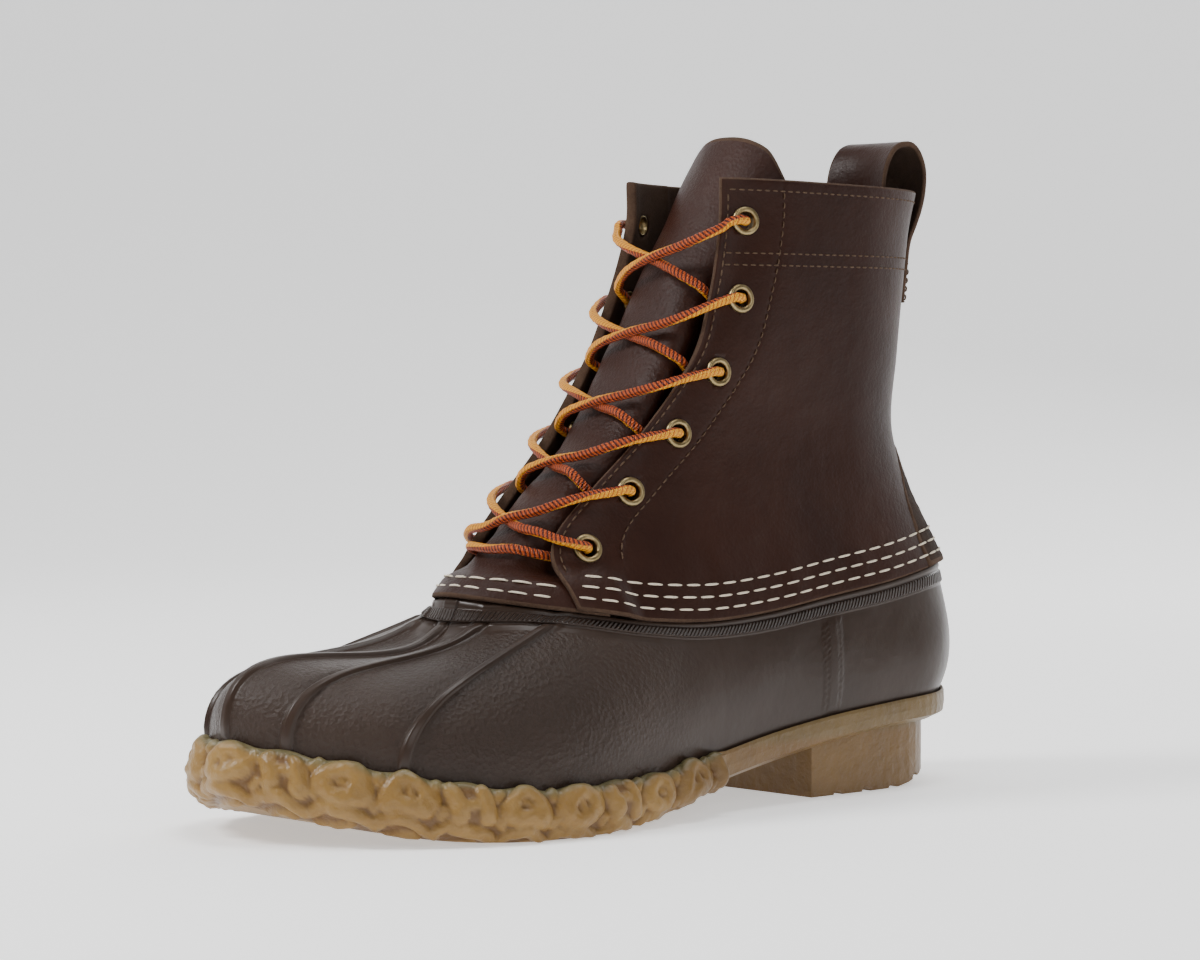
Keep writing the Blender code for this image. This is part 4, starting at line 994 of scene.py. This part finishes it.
def link_relief(along, down):
    """Share of the relief's height at a length along the wall and a depth under its top."""
    best = 0.0
    cell = round(along / LINK_PITCH)
    for k in (cell - 1, cell, cell + 1):
        x = along - k * LINK_PITCH + 0.0009 * math.sin(380 * down + 2.1 * k)
        y = down + 0.0007 * math.sin(420 * along + 1.3 * k)
        if k % 3 < 2:
            size = 1.0 + 0.06 * math.sin(1.7 * k)
            ring = abs(math.hypot(x / 1.34, y - 0.0069) - 0.0043 * size)
            best = max(best, dome(ring, 0.0030 * size))
        best = max(best, *(bar(x, y, *row) for row in KIND_BARS[k % 3] + COMMON_BARS))
    return best


def chain_skin():
    """Chain-link relief over the forefoot's wall, just clear of the sole under it.

    `edge` marks the paler upper edge and `deep` the grooves between links, where the gum is
    darkened as painted shade.
    """
    columns, edge, deep = [], [], []
    places = np.linspace(0.0, 5.0, CHAIN_ROWS)
    for turn in np.arange(CHAIN_ENDS, TURNS - CHAIN_ENDS + 0.001, 0.024):
        _, _, wall, _, under = foot_at(turn)
        wrap = wrap_share(turn)
        run = float(np.interp(turn, SOLE_TURNS, SOLE_RUN))
        bump = 0.5 - 0.5 * math.cos(2 * math.pi * run / LINK_PITCH)
        out = RAND_BULGE + (SOLE_BULGE - RAND_BULGE - SCALLOP_DEPTH * (1 - bump)) * wrap
        top = wall + SCALLOP_RISE * bump * wrap
        tall = top - under
        tread = -TREAD_INSET + TREAD_ROLL * wrap * (1.0 - smoothstep(0.0, 0.004, under))
        upper = SOLE_LIP + (out - SOLE_LIP) * 0.45
        profile = np.array((foot_point(turn, tread, under + 0.0001),
                            foot_point(turn, out * 0.75, under + 0.22 * tall),
                            foot_point(turn, out, under + 0.55 * tall),
                            foot_point(turn, upper, under + 0.90 * tall),
                            foot_point(turn, SOLE_LIP * 0.8, top),
                            foot_point(turn, -0.0002, top - 0.0002)))
        outward = plan_outward(foot_at, turn)
        ends = smoothstep(5.86, 6.05, min(turn, TURNS - turn))
        path = np.array([through(profile, at) for at in places])
        runs = lengths_along(path)
        outs, ins = [], []
        for row, point in enumerate(path):
            ahead = path[min(row + 1, CHAIN_ROWS - 1)] - path[max(row - 1, 0)]
            normal = unit(outward * ahead[2] - np.array((0, 0, 1.0)) * float(ahead @ outward))
            down = runs[-1] - runs[row] - 0.0016
            wave = link_relief(run - LINK_PITCH / 2, down)
            rough = 0.10 * math.sin(900 * run) * math.sin(1100 * down + 2.0)
            fade = smoothstep(0.0, 0.4, places[row]) * (1.0 - smoothstep(4.7, 5.0, places[row]))
            height = -0.0010 + LINK_HEIGHT * (wave + rough * wave)
            height = 0.00015 + 0.5 * (height + math.hypot(height, 0.0004))
            outs.append(point + normal * (height * fade * ends - 0.0006 * (1 - ends) + 0.00012))
            edge.append(0.80 * (1.0 - smoothstep(0.0006, 0.0034, down)))
            # painted shade mask: high where the relief is low, in the grooves between links
            deep.append(1.0 - smoothstep(0.25, 0.75, wave))
            ins.append(point - normal * 0.0012)
        edge += [0.5] * len(ins)
        deep += [0.5] * len(ins)
        columns.append(outs + ins[::-1])
    loft("chain_skin", columns, [GUM_SKIN], closed=False,
         values={"edge": edge, "deep": deep})


# The leather.

def hem_pucker(side, share, level):
    """Soft pulls of the leather between the stitch rows along the hem."""
    fade = 1.0 - smoothstep(0.7, 1.2, level)
    wave = math.sin(share * girth_at(level) / 0.0045 + 1.3 * math.sin(share * 40.0) + side)
    return 0.00016 * wave * fade * smoothstep(0.05, 0.2, level) - 0.00012 * fade


def shaft_sample(u, level):
    """Shaft at u: side, and distance in from the flap's edge or else share of the way back."""
    side, inward, back = u
    if inward is None:
        share = (flap_share(level) - (EYESTAY_WIDTH + 0.003) / girth_at(level)) * back
        inward = 1.0
    else:
        share = flap_share(level) - inward / girth_at(level)
    here, normal = shaft_point(side, share, level)
    lift = flap_lift(level, inward) + hem_pucker(side, share, level)
    for line in STITCH_INSETS:
        lift -= 0.00022 * math.exp(-((inward - line) / 0.0007) ** 2) * smoothstep(0.4, 0.7, level)
    strip = 1.0 - smoothstep(EYESTAY_WIDTH, EYESTAY_WIDTH + 0.0008, inward)
    thickness = LEATHER + EYESTAY_EXTRA * strip * smoothstep(0.3, 1.0, level)
    return here + normal * lift, normal, thickness


def shaft_skin():
    insets = (0.0, 0.0003, 0.0008, 0.0016, 0.0023, 0.0030, 0.0037, 0.005, 0.0075, 0.010, 0.0125,
              0.015, 0.0175, 0.020, 0.0225, 0.0242, 0.0250, 0.0256, EYESTAY_WIDTH,
              EYESTAY_WIDTH + 0.0010, EYESTAY_WIDTH + 0.003)
    half = [(inset, None) for inset in insets]
    half += [(None, share) for share in np.linspace(1.0, 0.0, 49)[1:]]
    us = [(1, *u) for u in half] + [(-1, *u) for u in half[-2::-1]]
    tips = [0.62, 0.86, 0.97]
    fat_u = tips + [1.0] * (len(us) - 2 * len(tips)) + tips[::-1]
    body = list(np.linspace(0.12, 1.0, 13)) + list(np.linspace(1.0, 6.8, 47)[1:])
    vs, fat_v = edged(((0.0, 0.80), (0.03, 0.96), (0.07, 1.0)), body,
                      ((6.9, 1.0), (6.96, 0.95), (6.985, 0.80), (7.0, 0.45)))
    skin = leather_piece("shaft_skin", shaft_sample, us, vs, fat_u, fat_v,
                         [LEATHER_SKIN, FLESH_SKIN, EDGE_SKIN])
    punch_eyelets(skin)
    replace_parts(skin, "leather_shaft")


def punch_eyelets(skin):
    """Cut the eyelets' holes through the shaft."""
    points, faces = [], []
    sides, radius = 20, EYELET_BARREL + GAP
    for _, place, axis in eyelet_frames():
        turn = Vector(axis).to_track_quat("Z", "Y")
        first = len(points)
        for height in (-0.008, 0.004):
            for k in range(sides):
                angle = 2 * math.pi * k / sides
                spot = turn @ Vector((radius * math.cos(angle), radius * math.sin(angle), height))
                points.append(Vector(place) + spot + Vector(SHIFT))
        for k in range(sides):
            beside = (k + 1) % sides
            faces.append((first + k, first + beside, first + sides + beside, first + sides + k))
        faces.append(tuple(first + k for k in reversed(range(sides))))
        faces.append(tuple(first + sides + k for k in range(sides)))
    mesh = bpy.data.meshes.new("punch")
    mesh.from_pydata([tuple(p) for p in points], [], faces)
    punch = bpy.data.objects.new("punch", mesh)
    bpy.context.scene.collection.objects.link(punch)
    step = skin.modifiers.new("holes", "BOOLEAN")
    step.operation = "DIFFERENCE"
    step.solver = "EXACT"
    step.object = punch
    graph = bpy.context.evaluated_depsgraph_get()
    cut = bpy.data.meshes.new_from_object(skin.evaluated_get(graph))
    skin.modifiers.clear()
    old = skin.data
    skin.data = cut
    bpy.data.meshes.remove(old)
    bpy.data.objects.remove(punch, do_unlink=True)


def counter_skin():
    table = np.array(COUNTER)
    levels = np.linspace(0.0, 4.0, 161)
    heights = [ring_point(1, 0.0, level)[2] for level in levels]

    def sample(u, v):
        share_up, half = through(table, v * (len(table) - 1))
        level = float(np.interp(shaft_height(share_up), heights, levels))
        share = abs(u) * half * LENGTH / girth_at(level)
        here, normal = shaft_point(1 if u >= 0 else -1, share, level)
        rough = 0.0002 * math.sin(u * 37 + v * 23) * math.sin(u * 19 - v * 41)
        return here + normal * (0.0004 + rough), normal, COUNTER_THICKNESS + 0.0004

    us, fat_u = edged(((-1.0, 0.3), (-0.985, 0.75), (-0.96, 1.0)), np.linspace(-0.93, 0.93, 33),
                      ((0.96, 1.0), (0.985, 0.75), (1.0, 0.3)))
    vs, fat_v = edged(((0.0, 0.3), (0.02, 0.75), (0.05, 1.0)), np.linspace(0.08, 0.94, 24),
                      ((0.97, 1.0), (0.99, 0.75), (1.0, 0.3)))
    skin = leather_piece("counter_skin", sample, us, vs, fat_u, fat_v,
                         [SUEDE_SKIN, SUEDE_SKIN, EDGE_SKIN])
    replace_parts(skin, "heel_counter")


def tongue_skin():
    def sample(u, v):
        step = 0.02
        here = tongue_point(v, u, 0.0)
        beside = tongue_point(v, min(u + step, 1.0), 0.0) \
            - tongue_point(v, max(u - step, -1.0), 0.0)
        above = tongue_point(min(v + step, 7.0), u, 0.0) \
            - tongue_point(max(v - step, 0.0), u, 0.0)
        normal = unit(np.cross(beside, above))
        if normal @ (tongue_point(v, u, TONGUE_THICKNESS) - here) > 0:
            normal = -normal
        lift = 0.0003 * math.sin(here[2] * 210 + 4 * u) * math.cos(here[1] * 160)
        for height, bow, depth in CREASES:
            offset = here[2] - height - bow * u
            lift -= depth * math.exp(-(offset / 0.0030) ** 2) * (1.0 - 0.6 * abs(u))
        corner = smoothstep(0.62, 1.0, abs(u)) * smoothstep(6.2, 7.0, v)
        here = here - np.array((0, 0, TONGUE_CORNERS)) * corner
        return here + normal * lift * smoothstep(0.3, 1.2, v), normal, TONGUE_THICKNESS

    us, fat_u = edged(((-1.0, 0.35), (-0.99, 0.8), (-0.975, 1.0)), np.linspace(-0.95, 0.95, 39),
                      ((0.975, 1.0), (0.99, 0.8), (1.0, 0.35)))
    vs, fat_v = edged(((0.0, 0.5), (0.04, 0.9)), np.linspace(0.1, 6.9, 70),
                      ((6.95, 0.95), (6.98, 0.75), (7.0, 0.35)))
    skin = leather_piece("tongue_skin", sample, us, vs, fat_u, fat_v,
                         [TONGUE_SKIN, FLESH_SKIN, EDGE_SKIN])
    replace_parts(skin, "tongue")


def loop_skin():
    """The pull loop: a strap from inside the collar, over it and down its back."""
    stand = 2 * GAP + LOOP_THICKNESS / 2
    upper_rings = COLLAR_HEIGHT - shaft_height(SHAFT[5][0])

    def on_back(below, out):
        """Place beside the shaft's back below the collar, this far outside its surface."""
        back = ring_point(1, 0.0, LEVELS - below / upper_rings)
        return back[0] - out, back[2], 1.0

    collar_back, collar_top = ring_point(1, 0.0, LEVELS)[0], COLLAR_HEIGHT - COLLAR_DIP
    rows = np.array([on_back(below, -LEATHER - stand) for below in (0.030, 0.022)]
                    + [(collar_back + ahead * LOOP_HEIGHT, collar_top + up * LOOP_HEIGHT, bend)
                       for ahead, up, bend in LOOP]
                    + [on_back(below, stand) for below in (0.019, 0.027, 0.035)])
    last, half = len(rows) - 1, len(rows) / 2
    widths = np.linspace(0, 1, 9)
    inner, outer = ([wall_curve(width * LOOP_WIDTH / 2, height) for width in widths]
                    for height in (-LEATHER - stand, stand))

    def sample(u, v):
        at = v * last
        x, z, bend = through(rows, at)
        before, after = through(rows, max(at - 0.05, 0)), through(rows, min(at + 0.05, last))
        along = unit(np.array((after[0] - before[0], 0.0, after[1] - before[1])))
        normal = np.array((-along[2], 0.0, along[0]))
        inside, outside = np.interp(abs(u), widths, inner), np.interp(abs(u), widths, outer)
        change = smoothstep(half - 2, half + 2, at)
        here = np.array((x + bend * (inside + (outside - inside) * change), u * LOOP_WIDTH / 2, z))
        return here + normal * LOOP_THICKNESS / 2, normal, LOOP_THICKNESS

    us, fat_u = edged(((-1.0, 0.35), (-0.985, 0.75), (-0.95, 1.0)), np.linspace(-0.9, 0.9, 13),
                      ((0.95, 1.0), (0.985, 0.75), (1.0, 0.35)))
    vs, fat_v = edged(((0.0, 0.35), (0.006, 0.75), (0.014, 1.0)), np.linspace(0.03, 0.97, 60),
                      ((0.986, 1.0), (0.994, 0.75), (1.0, 0.35)))
    skin = leather_piece("loop_skin", sample, us, vs, fat_u, fat_v,
                         [FLESH_SKIN, LEATHER_SKIN, EDGE_SKIN])
    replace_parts(skin, "pull_loop")

    def on_strap(y, height):
        level = LEVELS + height / upper_rings
        shares = np.linspace(0, 0.3, 31)
        beside = [ring_point(1, share, level)[1] for share in shares]
        share = float(np.interp(abs(y), beside, shares))
        here, normal = shaft_point(1 if y >= 0 else -1, share, level)
        return here + normal * (2 * GAP + LOOP_THICKNESS + 0.0002), normal

    low, high = LOOP_SEAMS
    lines = [[on_strap(y, height) for y in np.linspace(-LOOP_SEAM_HALF, LOOP_SEAM_HALF, 13)]
             for height in (high, low)]
    lines += [[on_strap(y, height) for height in np.linspace(low, high, 6)]
              for y in (LOOP_SEAM_HALF, -LOOP_SEAM_HALF)]
    stitches("loop_thread", lines, *LOOP_STITCH, BROWN_THREAD, "leather")


# Stitch lines on the shaft.

COUNTER_HEIGHTS = [shaft_height(share) for share, _ in COUNTER]
COUNTER_HALVES = [half * LENGTH for _, half in COUNTER]


def hem_line(places, above):
    """A line at a height above the hem, through places of side and share."""
    line = []
    levels = np.linspace(0.0, 2.0, 41)
    for side, share in places:
        run = lengths_along(np.array([ring_point(side, share, level) for level in levels]))
        level = float(np.interp(above, run, levels))
        here, normal = shaft_point(side, share, level)
        inward = (flap_share(level) - share) * girth_at(level)
        lift = flap_lift(level, inward) if inward >= 0 else 0.0
        half = np.interp(here[2], COUNTER_HEIGHTS, COUNTER_HALVES)
        lift += 0.0007 * (1.0 - smoothstep(half - 0.0008, half + 0.0008, share * girth_at(level)))
        line.append((here + normal * (lift + hem_pucker(side, share, level)), normal))
    return line


def both_sides(start, end, count):
    """Places from the lateral side to the medial side, with `end` in the middle."""
    shares = np.linspace(start, end, count)
    return [(1, share) for share in shares] + [(-1, share) for share in shares[-2::-1]]


def all_stitches():
    edge, girth = flap_share(0.3), girth_at(0.2)
    lines = []
    for row, above in enumerate(HEM_ROWS):
        lines.append(hem_line(both_sides(edge - 0.0035 / girth, 0.0, 90), above))
        if row < 2:
            lines.append(hem_line(both_sides(edge + 0.003 / girth, 1.0, 30), above))
    stitches("hem_thread", lines, *CREAM_STITCH, CREAM_THREAD, "leather")
    lines = []
    for side in (1, -1):
        for inward, low in zip(STITCH_INSETS, (0.55, 0.75)):
            line = []
            for level in np.linspace(low, 6.72, 90):
                _, normal = shaft_point(side, flap_share(level) - inward / girth_at(level), level)
                line.append((on_flap(side, level, inward, 0.0), normal))
            lines.append(line)
    for level in COLLAR_LINES:
        limit = flap_share(level) - STITCH_INSETS[0] / girth_at(level)
        lines.append([shaft_point(side, share, level)
                      for side, share in both_sides(limit, 0.0, 90)])
    stitches("shaft_thread", lines, *BROWN_STITCH, BROWN_THREAD, "leather")


# Eyelets and laces.

def eyelet_skins():
    deep = LEATHER + EYESTAY_EXTRA
    middle, half = (EYELET_HOLE + EYELET_RADIUS) / 2, (EYELET_RADIUS - EYELET_HOLE) / 2
    profile = [(EYELET_HOLE, -deep), (EYELET_HOLE, -0.0004)]
    profile += [(middle - half * math.cos(angle), 0.00015 + 0.0011 * math.sin(angle) ** 0.8)
                for angle in math.pi * np.arange(9) / 8]
    profile += [(EYELET_RADIUS, -0.0001), (EYELET_BARREL, -0.0001), (EYELET_BARREL, -deep)]
    for name, place, axis in eyelet_frames():
        turn = Vector(axis).to_track_quat("Z", "Y")
        columns = []
        for angle in 2 * math.pi * np.arange(36) / 36:
            cosine, sine = math.cos(angle), math.sin(angle)
            columns.append([place + np.array(turn @ Vector((r * cosine, r * sine, z)))
                            for r, z in profile])
        skin = loft(name.replace("eyelet", "brass_ring"), columns, [BRASS_SKIN])
        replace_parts(skin, name)


def smooth_path(path):
    """The path in even small steps, and the length run at each."""
    rows = np.array([tuple(p) for p in path])
    fine = np.array([through(rows, at) for at in np.linspace(0, len(rows) - 1, 40 * len(rows))])
    run = lengths_along(fine)
    at = np.linspace(0, run[-1], max(int(run[-1] / LACE_STEP), 4))
    return np.stack([np.interp(at, run, fine[:, k]) for k in range(3)], axis=1), at


def braid(name, path):
    """A round lace along a smooth path; along and round it in its UV map."""
    fine, run = smooth_path(path)
    last = len(fine) - 1
    columns = []
    side_way = None
    for row, here in enumerate(fine):
        ahead = unit(fine[min(row + 1, last)] - fine[max(row - 1, 0)])
        if side_way is None:
            side_way = np.cross(ahead, (0.0, 0.0, 1.0))
        side_way = unit(side_way - ahead * (side_way @ ahead))
        other = np.cross(ahead, side_way)
        radius = LACE_RADIUS * (0.9 + 0.1 * smoothstep(0, 0.001, min(run[row], run[-1] - run[row])))
        ring = []
        for angle in 2 * math.pi * np.arange(LACE_SIDES) / LACE_SIDES:
            strand = 0.00008 * math.cos(4 * angle + run[row] / LACE_TWIST * 2 * math.pi)
            out = side_way * math.cos(angle) + other * math.sin(angle)
            ring.append(here + out * (radius + strand))
        columns.append(ring)
    down = [[k / LACE_SIDES for k in range(LACE_SIDES + 1)]] * len(columns)
    return loft(name, columns, [LACE_SKIN], closed=False, along=run, down=down)


def lace_skins():
    level, half = lace_half(0, False)
    middle, normal = shaft_point(1, 1.0, level)
    path = [on_flap(1, level, inward, height) for _, inward, height in half]
    path.append(middle + normal * (LACE_REST + 0.0008))
    path += [on_flap(-1, level, inward, height) for _, inward, height in reversed(half)]
    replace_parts(braid("lace_bar_skin", path), "lace_bar")
    for k in range(1, len(EYELETS)):
        over = lace_strand(-1, k - 1, k == 1, k, LACE_REST + 1.7 * LACE_RADIUS)
        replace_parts(braid(f"lace_over_{k}", over), f"lace_cross_{k}")
        braid(f"lace_below_{k}", lace_strand(1, k - 1, k == 1, k, LACE_REST + 0.0003))


def dress_nodes():
    """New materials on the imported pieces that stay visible."""
    for name, material in (("gum_sole", GUM_SKIN), ("insole", LINING_SKIN)):
        mesh = NODES[name].data
        for place in range(len(mesh.materials)):
            mesh.materials[place] = material


# Studio.

# Each area light: name, place, size in metres, watts.
LIGHTS = (("key", (1.05, -0.45, 1.15), 0.5, 20.0), ("fill", (0.5, 1.9, 1.1), 0.8, 9.0),
          ("top", (-0.1, 0.1, 1.7), 0.8, 12.0), ("rim", (-1.3, -0.5, 0.8), 0.8, 8.0))
AIM = Vector((0.0015, 0.0, 0.112))          # where the camera and the lights look
CAMERA_PLACE = Vector((0.9828, 0.9262, 0.1565)) + Vector(SHIFT)
LENS = 108.7
PAPER_HALF = 9.0            # the paper's half width
PAPER_REACH = 1.2           # it lies flat this far behind the boot, then curves up at this radius
PAPER_TOP = 4.0


def place_at(thing, place):
    """Put a camera or light in the scene, looking at the boot."""
    bpy.context.scene.collection.objects.link(thing)
    thing.location = place
    thing.rotation_euler = (Vector(place) - AIM).to_track_quat("Z", "Y").to_euler()


def studio():
    camera_data = bpy.data.cameras.new("camera")
    camera_data.sensor_width = 36.0
    camera_data.lens = LENS
    camera = bpy.data.objects.new("camera", camera_data)
    place_at(camera, CAMERA_PLACE)
    bpy.context.scene.camera = camera
    for name, place, size, power in LIGHTS:
        light = bpy.data.lights.new(name, "AREA")
        light.size = size
        light.energy = power
        light.specular_factor = 0.35 if name == "fill" else 1.0
        place_at(bpy.data.objects.new(name, light), place)
    backdrop()
    world = bpy.data.worlds.new("studio")
    bpy.context.scene.world = world
    world.use_nodes = True
    nodes, links = world.node_tree.nodes, world.node_tree.links
    side = nodes.new("ShaderNodeVectorMath")
    side.operation = "DOT_PRODUCT"
    links.new(nodes.new("ShaderNodeTexCoord").outputs["Generated"], side.inputs[0])
    side.inputs[1].default_value = (-0.70, -0.62, 0.35)
    strength = nodes.new("ShaderNodeMapRange")
    links.new(side.outputs["Value"], strength.inputs["Value"])
    for key, value in (("From Min", -0.2), ("From Max", 0.95), ("To Min", 0.13), ("To Max", 0.55)):
        strength.inputs[key].default_value = value
    links.new(strength.outputs["Result"], nodes["Background"].inputs["Strength"])
    nodes["Background"].inputs["Color"].default_value = (1.0, 1.0, 1.0, 1.0)


def backdrop():
    """White paper sweep: flat under the boot, curving up far behind it."""
    away = Vector((-0.766, -0.643, 0.0))
    across = Vector((-away.y, away.x, 0.0))
    profile = [(-PAPER_HALF, 0.0), (PAPER_REACH, 0.0)]
    profile += [(PAPER_REACH * (1 + math.sin(angle)), PAPER_REACH * (1 - math.cos(angle)))
                for angle in np.linspace(0.0, math.pi / 2, 17)[1:]]
    profile.append((2 * PAPER_REACH, PAPER_TOP))
    points = [away * ahead + across * side + Vector((0, 0, up))
              for ahead, up in profile for side in (-PAPER_HALF, PAPER_HALF)]
    faces = [(2 * k, 2 * k + 1, 2 * k + 3, 2 * k + 2) for k in range(len(profile) - 1)]
    mesh = bpy.data.meshes.new("paper")
    mesh.from_pydata(points, [], faces)
    mesh.shade_smooth()
    material = bpy.data.materials.new("paper_white")
    material.use_nodes = True
    shader = material.node_tree.nodes["Principled BSDF"]
    for key, value in (("Base Color", (0.92, 0.92, 0.92, 1.0)), ("Roughness", 0.85),
                       ("Specular IOR Level", 0.1), ("Emission Color", (1.0, 1.0, 1.0, 1.0)),
                       ("Emission Strength", 0.62)):
        shader.inputs[key].default_value = value
    mesh.materials.append(material)
    paper = bpy.data.objects.new("paper", mesh)
    bpy.context.scene.collection.objects.link(paper)


studio()
dress_nodes()
rubber_skin()
chain_skin()
shaft_skin()
counter_skin()
tongue_skin()
loop_skin()
all_stitches()
eyelet_skins()
lace_skins()
